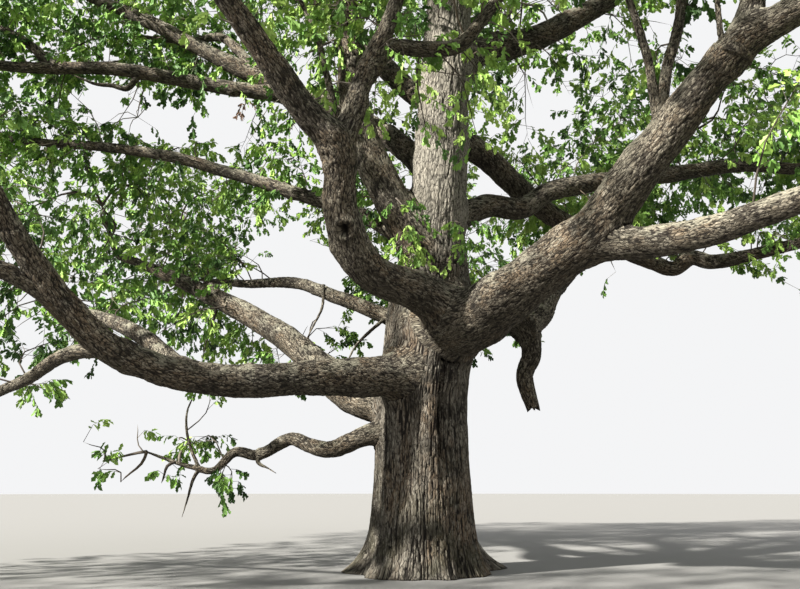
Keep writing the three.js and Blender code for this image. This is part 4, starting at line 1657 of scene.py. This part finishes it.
@dataclass(frozen=True)
class LeafHabit:
    """How leaves sit on a twig: half of them crowded at its tip, the rest along it, all hanging a little."""

    each: int = 10
    tip_share: float = 0.98
    tip_step: float = 0.015
    along_from: float = 0.42
    along_over: float = 0.5
    spread_least: float = 0.55
    spread_more: float = 0.6
    hang_least: float = 0.35
    hang_more: float = 0.95
    level_least: float = 0.35
    level_more: float = 0.4
    short: float = 0.15
    long: float = 0.25

    def leaves(self, paths: Array, seed: int, tints: Array, size: float = 1.0) -> Leaves:
        """Set leaves along twigs.

        Args:
            paths: The twigs' spots.
            seed: Picks their angles and sizes.
            tints: The tint of each twig's leaves.
            size: A factor on the leaves' length.

        Returns:
            The leaves.
        """
        twig, leaf = (grid.ravel() for grid in np.indices((len(paths), self.each)))
        half = self.each // 2
        share = np.where(leaf < half, self.tip_share - self.tip_step * leaf,
                         self.along_from + self.along_over * (leaf - half) / (self.each - half))
        roots, ways = places_along(paths, twig, share)
        across, square = crossways(ways)
        angle = 2 * math.pi * (leaf * GOLDEN + scatter(seed, twig, 1)) + 0.5 * scatter(seed, twig, leaf, 2)
        spread = self.spread_least + self.spread_more * scatter(seed, twig, leaf, 3)
        sideways = np.cos(angle)[:, None] * across + np.sin(angle)[:, None] * square
        out = np.cos(spread)[:, None] * ways + np.sin(spread)[:, None] * sideways
        out[:, 2] -= self.hang_least + self.hang_more * scatter(seed, twig, leaf, 4)
        out = unit(out)
        level = self.level_least + self.level_more * scatter(seed, twig, leaf, 7)
        tilt = [scatter(seed, twig, leaf, 5) - 0.5, scatter(seed, twig, leaf, 6) - 0.5, level]
        faces = square_to(np.stack(tilt, axis=1), out)
        lengths = size * (self.short + (self.long - self.short) * scatter(seed, twig, leaf, 8))
        return Leaves(roots, out, faces, lengths, tints[twig])


LEAF_HABIT = LeafHabit()


@dataclass(frozen=True)
class SkyGap:
    """A place in the reference view where sky shows between the boughs, as an ellipse of pixels."""

    across: float
    down: float
    half_width: float
    half_height: float
    kept: float = 0.07

    def covers(self, points: Array) -> Array:
        """Say which places show inside the gap.

        Args:
            points: Places, one a row.

        Returns:
            True for each place that would hide the sky.
        """
        right, below, depth = CAMERA.pixels(points)
        aside = (right - self.across) / self.half_width
        above = (below - self.down) / self.half_height
        return (aside ** 2 + above ** 2 < 1) & (depth > 0)


@dataclass(frozen=True)
class SunGap:
    """A place that the sun reaches through the crown, with the half width of the opening."""

    place: Spot
    half_width: float
    kept: float = 0.04

    def covers(self, points: Array) -> Array:
        """Say which places stand between the sun and the lit place, or so near that their leaves would.

        Args:
            points: Places, one a row.

        Returns:
            True for each place that would cast its shade there.
        """
        way = unit(np.array(SUN_WAY))
        away = points - np.array(self.place)
        toward = -(away @ way)
        aside = np.linalg.norm(away + toward[:, None] * way, axis=1)
        return (aside < self.half_width + LEAF_HABIT.short) & (toward > 0)


SUN_WAY: Spot = (0.7, 0.45, -0.55)
GAPS: tuple[SkyGap | SunGap, ...] = (
    SkyGap(285, 285, 60, 60),
    SkyGap(240, 410, 90, 18),
    SkyGap(490, 180, 16, 14),
    SkyGap(540, 98, 30, 32),
    SkyGap(785, 40, 22, 24),
    SkyGap(708, 36, 20, 24),
    SkyGap(657, 28, 12, 18),
    SkyGap(106, 100, 36, 22),
    SkyGap(170, 122, 48, 20),
    SkyGap(228, 118, 24, 28),
    SkyGap(650, 305, 125, 52),
    SkyGap(620, 45, 120, 55, kept=0.5),
    SunGap((0.2, -0.9, 4.3), 0.45),
    SunGap((0.22, -0.9, 3.4), 0.4),
    SunGap((-2.55, -2.1, 3.5), 0.5),
    SunGap((-3.45, -2.6, 3.4), 0.65),
    SunGap((-5.0, -3.4, 4.1), 0.45),
    SunGap((-0.9, 0.3, 3.3), 0.4),
    SunGap((-1.8, 1.0, 4.0), 0.6),
    SunGap((-2.7, 1.6, 4.8), 0.6),
    SunGap((-3.6, 2.3, 5.4), 0.5),
    SunGap((1.3, -2.1, 5.1), 0.65),
    SunGap((2.1, -3.1, 5.6), 0.5),
    SunGap((0.65, -0.4, 6.9), 0.35),
    SunGap((0.35, -0.5, 8.1), 0.75),
    SunGap((0.5, -0.45, 9.7), 0.6),
    SunGap((1.7, 0.5, 7.5), 0.5),
    SunGap((3.1, 1.1, 8.2), 0.55),
    SunGap((-4.0, 2.4, 11.4), 0.7),
    SunGap((-3.6, 1.6, 8.4), 0.5),
)


def in_gap(points: Array, seed: int) -> Array:
    """Say which places stay free of leaves so that sky or sun comes through, but for a few.

    Args:
        points: Places, one a row.
        seed: Picks the few.

    Returns:
        True for each place that stays free.
    """
    free = np.zeros(len(points), dtype=bool)
    chance = scatter(seed, np.arange(len(points)))
    for gap in GAPS:
        free |= gap.covers(points) & (chance > gap.kept)
    return free


@dataclass
class OpenView:
    """The limbs that show bare in the reference view: rows of pixels across, down, depth and half width."""

    rows: list[Array]

    @classmethod
    def of(cls, limbs: Sequence["GrownLimb"]) -> "OpenView":
        """Project the limbs that show bare.

        Args:
            limbs: Every limb.

        Returns:
            Their rows.
        """
        rows = []
        for grown in limbs:
            last = SHOWN_LIMBS.get(grown.limb.name)
            if last is None:
                continue
            line = grown.line()
            picked = runs_of(line.spots) < last * grown.whole
            right, below, depth = CAMERA.pixels(line.spots[picked])
            rows.append(np.stack([right, below, depth, CAMERA.focal * line.radii[picked] / depth], axis=1))
        return cls(rows)

    def covers(self, points: Array, seed: int) -> Array:
        """Say which places stand in front of a limb that shows, but for a few.

        Args:
            points: Places, one a row.
            seed: Picks the few.

        Returns:
            True for each place that would hide a limb.
        """
        right, below, depth = CAMERA.pixels(points)
        here = np.stack([right, below], axis=1)
        hiding = np.zeros(len(points), dtype=bool)
        for row in self.rows:
            for first, second in zip(row[:-1], row[1:]):
                span = second - first
                share = np.clip((here - first[:2]) @ span[:2] / max(float(span[:2] @ span[:2]), 1e-6), 0, 1)
                near = first + share[:, None] * span
                close = np.linalg.norm(here - near[:, :2], axis=1) < near[:, 3] + VIEW_MARGIN
                hiding |= close & (depth > 0) & (depth < near[:, 2] + VIEW_BEHIND)
        return hiding & (scatter(seed, np.arange(len(points))) > KEPT_IN_VIEW)


# The share of each limb's length that shows bare
SHOWN_LIMBS: dict[str, float] = {
    "left_low_arm": 0.85, "left_low_arm_rear": 0.5, "left_low_arm_fork": 0.5,
    "left_low_arm_side": 0.6, "front_right_arm": 1.0, "front_left_arm": 1.0,
    "front_right_low_bough": 1.0, "front_right_riser": 0.8, "front_right_upright": 0.6,
    "front_left_upright": 1.0, "front_left_crook": 1.0, "left_tall_bough": 0.35,
    "rear_left_bough": 0.6, "crooked_low_bough": 0.95, "rear_left_slim_bough": 0.75,
    "middle_left_bough": 0.9, "upper_left_bough": 1.0, "upper_left_fork": 1.0,
    "upper_left_side": 0.7, "right_bough": 0.7, "right_falling_bough": 0.8,
    "upper_right_bough": 0.5, "riser_fork": 0.7, "broken_bough": 1.0,
}
VIEW_MARGIN = 3.0
VIEW_BEHIND = 0.3
KEPT_IN_VIEW = 0.12


@dataclass
class MassSpace:
    """The space of one mass, which it shares with no other."""

    mass: Mass
    seed: float
    tip: Array
    way: Array

    @property
    def middle(self) -> Array:
        """Give the mass's middle."""
        return self.tip + np.array(self.mass.out)

    def stem(self) -> Array:
        """Lay the bough's path from its tip to the middle of the mass, as the frame's stem runs.

        Returns:
            The path past the tip.
        """
        leave = self.tip + self.way * STEM_LEAVE * float(np.linalg.norm(self.middle - self.tip))
        bends = np.array([self.tip - self.way * STEM_BEFORE, self.tip, leave, self.middle])
        return smooth_path(bends, PATH_STEPS)[PATH_STEPS + 1:]

    def inside(self, points: Array, spaces: Sequence["MassSpace"]) -> Array:
        """Say which points lie in this mass's own space.

        Args:
            points: Places, one a row.
            spaces: Every mass's space.

        Returns:
            True for each place inside.
        """
        flat = np.array([1, 1, 1 / MASS_SQUASH])
        here = points * flat
        own = np.sum((here - self.middle * flat) ** 2, axis=1) - self.mass.reach ** 2
        good = own <= -2 * SPACE_MARGIN * self.mass.reach
        for other in spaces:
            if other is self:
                continue
            theirs = np.sum((here - other.middle * flat) ** 2, axis=1) - other.mass.reach ** 2
            apart = float(np.linalg.norm((self.middle - other.middle) * flat))
            good &= theirs - own > 2 * SPACE_MARGIN * apart
        return good

    def places(self, first: int, count: int, order: Order) -> Array:
        """Give places of the even, seeded spread through the mass, between two shares of its reach.

        Args:
            first: The number of the first place.
            count: How many are wanted.
            order: The order that they are for.

        Returns:
            The places.
        """
        k = np.arange(first, first + count)
        shares = [(self.seed * power + k / EVEN_BASE ** power) % 1 for power in (1, 2, 3)]
        out = self.mass.reach * (order.nearest + (order.furthest - order.nearest) * np.cbrt(shares[0]))
        rise = 1 - 2 * shares[1]
        level = np.sqrt(1 - rise * rise)
        turn = 2 * math.pi * shares[2]
        ways = np.stack([level * np.cos(turn), level * np.sin(turn), rise * MASS_SQUASH], axis=1)
        return self.middle + ways * out[:, None]


def curved(roots: Array, ends: Array, form: TwigForm, seed: int) -> Array:
    """Bend straight twigs a little to the side and let them sag.

    Args:
        roots: Where they leave their hosts.
        ends: Their tips.
        form: Their form, with its bow and sag.
        seed: Picks the way that each bows.

    Returns:
        The spots along each twig.
    """
    count = len(roots)
    share = np.linspace(0, 1, form.steps + 1)[None, :, None]
    span = ends - roots
    length = np.linalg.norm(span, axis=1)[:, None, None]
    key = np.arange(count)
    push = np.stack([scatter(seed, key, axis) - 0.5 for axis in (1, 2, 3)], axis=1)
    push[:, 2] = 0.5 * push[:, 2] + 0.25
    push = square_to(push, unit(span))[:, None]
    wave = np.sin(math.pi * share) + 0.35 * np.sin(2 * math.pi * share)
    paths = roots[:, None] + span[:, None] * share + push * wave * length * form.bow
    paths[:, :, 2] -= (form.sag * length * share ** 2)[:, :, 0]
    return paths


def nearest_of(places: Array, hosts: Array) -> Array:
    """Give the host nearest to each place.

    Args:
        places: Places, one a row.
        hosts: Spots on the wood that they may grow from.

    Returns:
        The nearest host of each place.
    """
    gaps = np.sum((places[:, None] - hosts[None]) ** 2, axis=2)
    return hosts[np.argmin(gaps, axis=1)]


@dataclass
class GrowthPieces:
    """Twigs and leaves that one part of the crown has grown."""

    name: str
    nodes: Sequence[str]
    twigs: list[Twigs]
    leaves: Leaves

    def twig_mesh(self) -> Mesh:
        """Gather the twigs, each whole twig in one tint.

        Returns:
            The mesh of them all.
        """
        spots, quads, tris, quad_tint, tri_tint = [], [], [], [], []
        shift = 0
        for number, group in enumerate(self.twigs):
            points, fours, threes = group.tubes()
            count = len(group.paths)
            chance = scatter(TWIG_TINT_SEED + number, np.arange(count))
            tints = np.floor(chance * len(WoodTint)).astype(np.int64)
            spots.append(points)
            quads.append(fours + shift)
            tris.append(threes + shift)
            quad_tint.append(np.repeat(tints, len(fours) // count))
            tri_tint.append(np.repeat(tints, len(threes) // count))
            shift += len(points)
        return Mesh(f"twigs_{self.name}", np.vstack(spots), quads=np.vstack(quads), tris=np.vstack(tris),
                    quad_finish=np.concatenate(quad_tint), tri_finish=np.concatenate(tri_tint))

    def leaf_mesh(self) -> Mesh:
        """Turn the leaves into blades in their tints.

        Returns:
            The mesh of them all.
        """
        spots, tris = self.leaves.blades()
        tints = np.repeat(self.leaves.tints, len(LEAF_FACES))
        return Mesh(f"leaves_{self.name}", spots, tris=tris, tri_finish=tints, smooth=False)

    def build(self) -> None:
        """Make the twigs one piece and the leaves another."""
        self.twig_mesh().make(tinted("twig", WoodTint, TWIG_ROUGHNESS), "bough_bark", self.nodes)
        self.leaf_mesh().make(tinted("leaf", LeafTint, LEAF_ROUGHNESS), "foliage", self.nodes)


TWIG_TINT_SEED = 90
TWIG_ROUGHNESS = 0.85
LEAF_ROUGHNESS = 0.55


@dataclass
class Foliage:
    """One mass of foliage, grown from its bough by the seeded rule down to its leaves."""

    space: MassSpace
    number: int

    def tints(self, tips: Array, seed: int) -> Array:
        """Deal a green to each spray: lighter where the spray is high or far out and darker inside and
        below, which is painted light and shade, besides random patches and a random share.

        Args:
            tips: The sprays' tips.
            seed: Shuffles the greens.

        Returns:
            The number of each spray's tint.
        """
        away = (tips - self.space.middle) / self.space.mass.reach
        # Painted light and shade: sprays high and far out of the mass take lighter greens, those inside and
        # below darker ones.
        light = 0.5 * away[:, 2] / MASS_SQUASH + 0.3 * np.linalg.norm(away, axis=1) + 0.25
        patch = 0.5 * soft_noise(tips, 1.6, 60)
        chance = scatter(seed, np.arange(len(tips))) - 0.5
        return greens_of(0.62 - 0.33 * light - 0.35 * patch - 0.6 * chance)

    def grow(self, spaces: Sequence[MassSpace], limbs: Sequence[Line], view: OpenView) -> GrowthPieces:
        """Grow the twigs and leaves.

        Args:
            spaces: Every mass's space.
            limbs: Every limb, to keep clear of.
            view: The limbs that stay in view.

        Returns:
            The mass's twigs and leaves.
        """
        space = self.space
        scale = space.mass.reach / FULL_REACH
        near = [line for line in limbs if line.passes(space.middle, 1.2 * space.mass.reach)]
        twigs = []
        hosts = space.stem()
        first = 0
        for level, order in enumerate(ORDERS):
            wanted = max(4, round(space.mass.leafy * order.count * (scale ** 2 if level else 1)))
            places = space.places(first, wanted * TRIES, order)
            first += wanted * TRIES
            roots = nearest_of(places, hosts)
            length = np.linalg.norm(places - roots, axis=1)
            good = (length > order.shortest * min(1, scale)) & (length < order.longest)
            good &= space.inside(places, spaces) & inside_box(places, BOX_MARGIN)
            seed = 1000 * self.number + 10 * level
            if level:
                good &= ~in_gap(places, seed)
            if order is ORDERS[-1]:
                good &= ~view.covers(places - LEAF_HANG, seed + 1)
            for line in near:
                for share in CLEAR_SHARES:
                    spots = roots + (places - roots) * share
                    good &= line.gap(spots)[0] > order.form.root + LIMB_CLEARANCE
            picked = np.flatnonzero(good)[:wanted]
            paths = curved(roots[picked], places[picked], order.form, seed)
            twigs.append(Twigs(paths, order.form))
            grown = paths[:, 1:].reshape(-1, 3)
            hosts = np.vstack([hosts if level else hosts[len(hosts) // 3:], grown])
        tints = self.tints(paths[:, -1], seed)
        size = 1 + HIGH_GAIN * float(ease(*HIGH_CROWN, space.middle[2]))
        leaves = LEAF_HABIT.leaves(paths, seed + 5, tints, size)
        return GrowthPieces(space.mass.on, [f"foliage_{space.mass.on}"], twigs, leaves)


@dataclass(frozen=True)
class Sprout:
    """A leafy shoot that springs from a limb's bark, at a share of the limb's length."""

    on: str
    share: float
    way: Spot
    length: float


SPROUTS: tuple[Sprout, ...] = (
    Sprout("left_tall_bough", 0.06, (-0.2, -0.8, -0.8), 1.0),
    Sprout("left_tall_bough", 0.1, (0.1, -0.8, -0.9), 1.2),
    Sprout("left_tall_bough", 0.13, (0.5, -0.8, -0.8), 1.3),
    Sprout("left_tall_bough", 0.15, (-0.8, -0.5, -0.3), 0.8),
    Sprout("left_tall_bough", 0.33, (-0.6, -0.8, -0.2), 1.6),
    Sprout("left_tall_bough", 0.4, (0.4, -0.9, -0.2), 1.5),
    Sprout("left_tall_bough", 0.47, (-0.5, -0.8, -0.4), 1.7),
    Sprout("left_tall_bough", 0.55, (-0.3, -0.9, -0.3), 1.8),
    Sprout("left_tall_bough", 0.62, (0.5, -0.8, -0.4), 1.7),
    Sprout("middle_left_bough", 0.16, (0.1, -1.0, -0.3), 0.8),
    Sprout("front_left_upright", 0.3, (-0.8, 0.4, -0.2), 1.0),
    Sprout("front_left_upright", 0.55, (-0.8, 0.3, 0.1), 1.2),
    Sprout("front_left_upright", 0.8, (-0.7, 0.3, -0.3), 1.4),
    Sprout("front_left_crook", 0.16, (-0.4, 0.4, -0.9), 1.2),
    Sprout("front_left_crook", 0.24, (0.1, 0.3, -1.0), 1.3),
    Sprout("front_left_crook", 0.32, (0.5, 0.4, -0.9), 1.5),
    Sprout("front_left_crook", 0.39, (0.9, 0.5, -0.8), 1.6),
    Sprout("front_left_crook", 0.54, (0.6, 0.3, -1.0), 1.6),
    Sprout("upper_left_bough", 0.5, (-0.1, -0.6, -0.7), 0.8),
    Sprout("upper_left_bough", 0.58, (-0.2, -0.6, -0.7), 0.9),
    Sprout("trunk", 0.25, (-0.5, -0.8, -0.7), 1.0),
    Sprout("trunk", 0.28, (0.3, -0.9, -0.6), 1.2),
    *(Sprout("trunk", 0.38 + 0.026 * k,
             (math.cos(2.4 * k - 1.6), math.sin(2.4 * k - 1.6), 0.1), 1.2 + 0.04 * k)
      for k in range(20)),
)
DEAD_SPRAY = Sprout("upper_left_fork", 0.22, (0.0, -0.1, -1.0), 0.45)
SPROUT_DEPTH = 0.85
SPROUT_LEAF = 0.75
DEAD_LEAF = 0.5
SPROUT_SEED = 71


@dataclass(frozen=True)
class Dress:
    """How a limb bears side branches: where they begin, how far apart they are and how they lean."""

    start: float = 0.3
    apart: float = 0.33
    lean: Spot = (0.0, 0.25, 0.4)


LEAFY_LIMBS: dict[str, Dress] = {
    "middle_left_bough": Dress(start=0.12, apart=0.22, lean=(0.0, 0.0, 0.2)),
    "upper_left_bough": Dress(start=0.14, apart=0.24, lean=(0.0, -0.1, -0.3)),
    "rear_left_slim_bough": Dress(start=0.35, apart=0.3, lean=(0.0, 0.2, 0.5)),
    "left_low_arm": Dress(start=0.62),
    "left_low_arm_fork": Dress(start=0.4, apart=0.45),
    "left_low_arm_side": Dress(start=0.4, apart=0.5),
    "front_right_arm": Dress(start=0.72),
    "front_right_low_bough": Dress(start=0.45, apart=0.4, lean=(0.0, 0.2, 0.6)),
    "front_left_arm": Dress(start=0.62),
    "front_left_crook": Dress(start=0.25, apart=0.28, lean=(0.0, 0.1, -0.3)),
    "left_tall_bough": Dress(start=0.34, apart=0.28, lean=(-0.2, 0.3, 0.1)),
    "crooked_low_bough": Dress(start=0.72, apart=0.28, lean=(0.0, 0.3, 0.2)),
    "rear_left_bough": Dress(start=0.45, apart=0.3, lean=(0.0, 0.4, 0.5)),
    "upper_right_bough": Dress(start=0.18, apart=0.22, lean=(0.0, 0.1, -0.4)),
    "right_bough": Dress(start=0.22, apart=0.24, lean=(0.0, 0.3, 0.4)),
    "right_falling_bough": Dress(start=0.25, apart=0.26, lean=(0.0, 0.3, 0.5)),
    "broken_bough_elbow": Dress(start=0.35, apart=0.24, lean=(0.0, 0.0, 0.5)),
}


@dataclass
class SideBranches:
    """Leafy branches along the outer length of the limbs, each with fine twigs."""

    shortest: float = 0.5
    longest: float = 2.3
    leaf_size: float = 0.85
    lowest: float = 1.3
    margin: float = 0.3

    def grow(self, limbs: Sequence[GrownLimb], lines: Sequence[Line],
             view: OpenView) -> Iterator[GrowthPieces]:
        """Grow side branches on every limb.

        Args:
            limbs: The limbs that bear them.
            lines: Every limb, to keep clear of.
            view: The limbs that stay in view.

        Yields:
            The twigs and leaves of each limb.
        """
        for number, grown in enumerate(limbs):
            if grown.limb.name in BARE_LIMBS:
                continue
            dress = LEAFY_LIMBS.get(grown.limb.name, Dress())
            start = dress.start
            count = int(grown.whole * (1 - start) / dress.apart)
            k = np.arange(count)
            run = grown.whole * start + (k + scatter(31, number, k)) * dress.apart
            roots, ahead = (places_at(run + step, grown.runs, grown.spots) for step in (0.0, 0.2))
            way = unit(ahead - roots)
            side = np.stack([scatter(32 + axis, number, k) - 0.5 for axis in range(3)], axis=1)
            side = square_to(unit(side * (1.0, 1.0, 0.6)) + np.array(dress.lean), way)
            size = self.shortest + (self.longest - self.shortest) * scatter(36, number, k) ** 1.4
            size = size * min(1.0, 0.4 + grown.whole / 8) + np.interp(run, grown.runs, grown.radii)
            ends = roots + unit(side + 0.5 * way) * size[:, None]
            good = inside_box(ends, self.margin) & (ends[:, 2] > self.lowest) & ~in_gap(ends, 37 + number)
            for line in lines:
                good &= line.gap(ends)[0] > 2 * LIMB_CLEARANCE
            if good.any():
                yield spray_pieces(f"along_{grown.limb.name}", roots[good], ends[good], 400 + 20 * number,
                                   self.leaf_size, view)


BARE_LIMBS = ("broken_bough", "fork_stub", "slim_strut", "crooked_spur")

# The fine twigs on each shoot
TWIGS_LEAST = 4
TWIGS_MORE = 5
FIRST_TWIG = 0.22


def inside_box(points: Array, margin: float) -> Array:
    """Say which places keep a margin inside the solids' own box.

    Args:
        points: Places, one a row.
        margin: The least distance to the box's sides.

    Returns:
        True for each place that keeps it.
    """
    low, high = (np.array(corner) for corner in solids_box)
    return np.all((points > low + margin) & (points < high - margin), axis=1)


def spray_pieces(name: str, roots: Array, ends: Array, seed: int, size: float,
                 view: OpenView | None = None, tint: LeafTint | None = None) -> GrowthPieces:
    """Grow shoots with fine twigs and leaves.

    Args:
        name: What the pieces are called.
        roots: Where the shoots spring from.
        ends: Their tips.
        seed: Picks the twigs' places.
        size: A factor on the leaves' length.
        view: The limbs that stay in view.
        tint: One colour for every leaf.

    Returns:
        The twigs and leaves.
    """
    paths = curved(roots, ends, SHOOT_FORM, seed)
    lengths = np.linalg.norm(ends - roots, axis=1)
    each = np.round(TWIGS_LEAST + TWIGS_MORE * lengths).astype(np.int64)
    shoot = np.repeat(np.arange(len(roots)), each)
    twig = np.concatenate([np.arange(number) for number in each])
    share = FIRST_TWIG + (1 - FIRST_TWIG) * (twig + 0.6) / each[shoot]
    starts, along = places_along(paths, shoot, share)
    push = np.stack([scatter(seed + 3, shoot, twig, axis) - 0.5 for axis in (1, 2, 3)], axis=1)
    push[:, 2] *= 0.5
    push = square_to(push, along)
    reach = (0.16 + 0.2 * np.minimum(lengths[shoot], 2)) * (0.5 + scatter(seed + 4, shoot, twig))
    tips = starts + unit(push + 0.6 * along) * reach[:, None]
    if tint is None:
        kept = ~in_gap(tips, seed + 11)
        if view:
            kept &= ~view.covers(tips - LEAF_HANG, seed + 7)
        starts, tips, shoot, twig = starts[kept], tips[kept], shoot[kept], twig[kept]
    fine_paths = curved(starts, tips, FINE_FORM, seed + 6)
    tints = greens_of(0.42 - 0.45 * soft_noise(tips, 1.4, 61) - 0.7 * (scatter(seed + 8, shoot, twig) - 0.5))
    if tint:
        tints[:] = list(LeafTint).index(tint)
    twigs = [Twigs(paths, SHOOT_FORM), Twigs(fine_paths, FINE_FORM)]
    return GrowthPieces(name, [], twigs, LEAF_HABIT.leaves(fine_paths, seed + 9, tints, size))


@dataclass
class Studio:
    """A plain pale floor and soft light."""

    floor_radius: float = 260.0
    floor_sides: int = 96
    floor_drop: float = 0.001
    floor_colour: Colour = (0.21, 0.208, 0.2)
    sky_colour: Colour = (0.985, 0.99, 1.0)
    sky_strength: float = 0.92
    sun_colour: Colour = (1.0, 0.965, 0.9)
    sun_strength: float = 15.0
    sun_angle: float = math.radians(2)

    def build(self) -> None:
        """Lay the floor and hang the lights."""
        self.build_floor()
        self.build_lights()

    def build_floor(self) -> None:
        """Lay a round floor just under the ground's level."""
        count = self.floor_sides
        steps = np.arange(count) * 2 * math.pi / count
        rim = np.stack([self.floor_radius * np.cos(steps), self.floor_radius * np.sin(steps)], axis=1)
        spots = [(x, y, -self.floor_drop) for x, y in ((0.0, 0.0), *rim)]
        data = bpy.data.meshes.new("floor")
        data.from_pydata(spots, [], [(0, k + 1, (k + 1) % count + 1) for k in range(count)])
        floor = bpy.data.objects.new("floor", data)
        data.materials.append(PlainFinish("floor_paint", self.floor_colour, 0.9, 0.1).make())
        bpy.context.scene.collection.objects.link(floor)

    def build_lights(self) -> None:
        """Hang the sun and the soft sky."""
        lamp = bpy.data.lights.new("sun", "SUN")
        lamp.energy = self.sun_strength
        lamp.angle = self.sun_angle
        lamp.color = self.sun_colour
        sun = bpy.data.objects.new("sun", lamp)
        sun.rotation_euler = Vector(SUN_WAY).to_track_quat("-Z", "Y").to_euler()
        bpy.context.scene.collection.objects.link(sun)

        world = bpy.data.worlds.new("studio")
        world.use_nodes = True
        sky = world.node_tree.nodes["Background"]
        sky.inputs["Color"].default_value = (*self.sky_colour, 1.0)
        sky.inputs["Strength"].default_value = self.sky_strength
        bpy.context.scene.world = world
        bpy.context.scene.view_settings.view_transform = "Standard"


@dataclass
class Oak:
    """The whole tree: trunk, limbs and crown, with what each needs to know of the others."""

    trunk: Trunk = field(default_factory=Trunk)
    limbs: list[GrownLimb] = field(default_factory=list)
    spaces: list[MassSpace] = field(default_factory=list)

    def lay_out(self) -> None:
        """Lay out every limb and the space of every mass."""
        plain = {limb.name: limb for limb in LIMBS}
        for number, mass in enumerate(MASSES):
            if mass.on == "trunk":
                top = self.trunk.shaft[-1]
                tip = np.array([top[1], top[2], top[0]])
                way = UP
            else:
                bends = smooth_path(np.array(plain[mass.on].bends), 2)
                tip = bends[-1]
                way = unit(bends[-1] - bends[-2])
            self.spaces.append(MassSpace(mass, (number + 1) * GOLDEN, tip, way))
        onward = {space.mass.on: space.stem() for space in self.spaces}
        self.trunk.onward = onward["trunk"]
        for number, limb in enumerate((*LIMBS, *SHOOTS)):
            path = onward[limb.name] if limb.name in onward else pointed(limb)
            self.limbs.append(GrownLimb(limb, 100 + 20 * number, path))

    def lines(self) -> list[Line]:
        """Give the trunk and every limb as coarse lines for measuring."""
        return [self.trunk.line(), *[grown.line() for grown in self.limbs]]

    def build_bark(self) -> None:
        """Make the bark of the trunk and of every limb."""
        lines = self.lines()
        trunk_bark = TRUNK_BARK.make()
        bough_bark = BOUGH_BARK.make()
        self.trunk.build(lines[1:], trunk_bark)
        for number, grown in enumerate(self.limbs):
            grown.build(lines[:number + 1] + lines[number + 2:], bough_bark)

    def build_crown(self) -> None:
        """Grow every mass and the shoots along the limbs."""
        lines = self.lines()
        view = OpenView.of(self.limbs)
        for number, space in enumerate(self.spaces):
            Foliage(space, number + 1).grow(self.spaces, lines, view).build()
        for pieces in SideBranches().grow(self.limbs, lines, view):
            pieces.build()
        for name, sprouts, size, tint in (("sprouts", SPROUTS, SPROUT_LEAF, None),
                                          ("dead_spray", (DEAD_SPRAY,), DEAD_LEAF, LeafTint.DEAD)):
            roots, ends = (np.array(places) for places in zip(*[self.spring(sprout) for sprout in sprouts]))
            spray_pieces(name, roots, ends, SPROUT_SEED, size, tint=tint).build()

    def spring(self, sprout: Sprout) -> tuple[Array, Array]:
        """Root a sprout in the bark of the limb that bears it.

        Args:
            sprout: The sprout.

        Returns:
            Its root and its tip.
        """
        if sprout.on == "trunk":
            line = self.trunk.line()
            whole = float(runs_of(line.spots)[-1])
        else:
            grown = next(grown for grown in self.limbs if grown.limb.name == sprout.on)
            line = Line(grown.spots, grown.radii)
            whole = grown.whole
        runs = runs_of(line.spots)
        run = sprout.share * whole
        middle, ahead = (places_at(run + step, runs, line.spots) for step in (0.0, 0.1))
        along = unit(ahead - middle)
        way = unit(np.array(sprout.way))
        side = unit(way - along * np.dot(way, along))
        root = middle + side * SPROUT_DEPTH * float(np.interp(run, runs, line.radii))
        return root, root + way * sprout.length


def main() -> None:
    """Build the camera, the studio and the tree."""
    logging.basicConfig(level=logging.INFO, format="%(message)s")
    CAMERA.build()
    Studio().build()
    oak = Oak()
    oak.lay_out()
    oak.build_bark()
    oak.build_crown()
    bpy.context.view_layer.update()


if __name__ == "__main__":
    main()
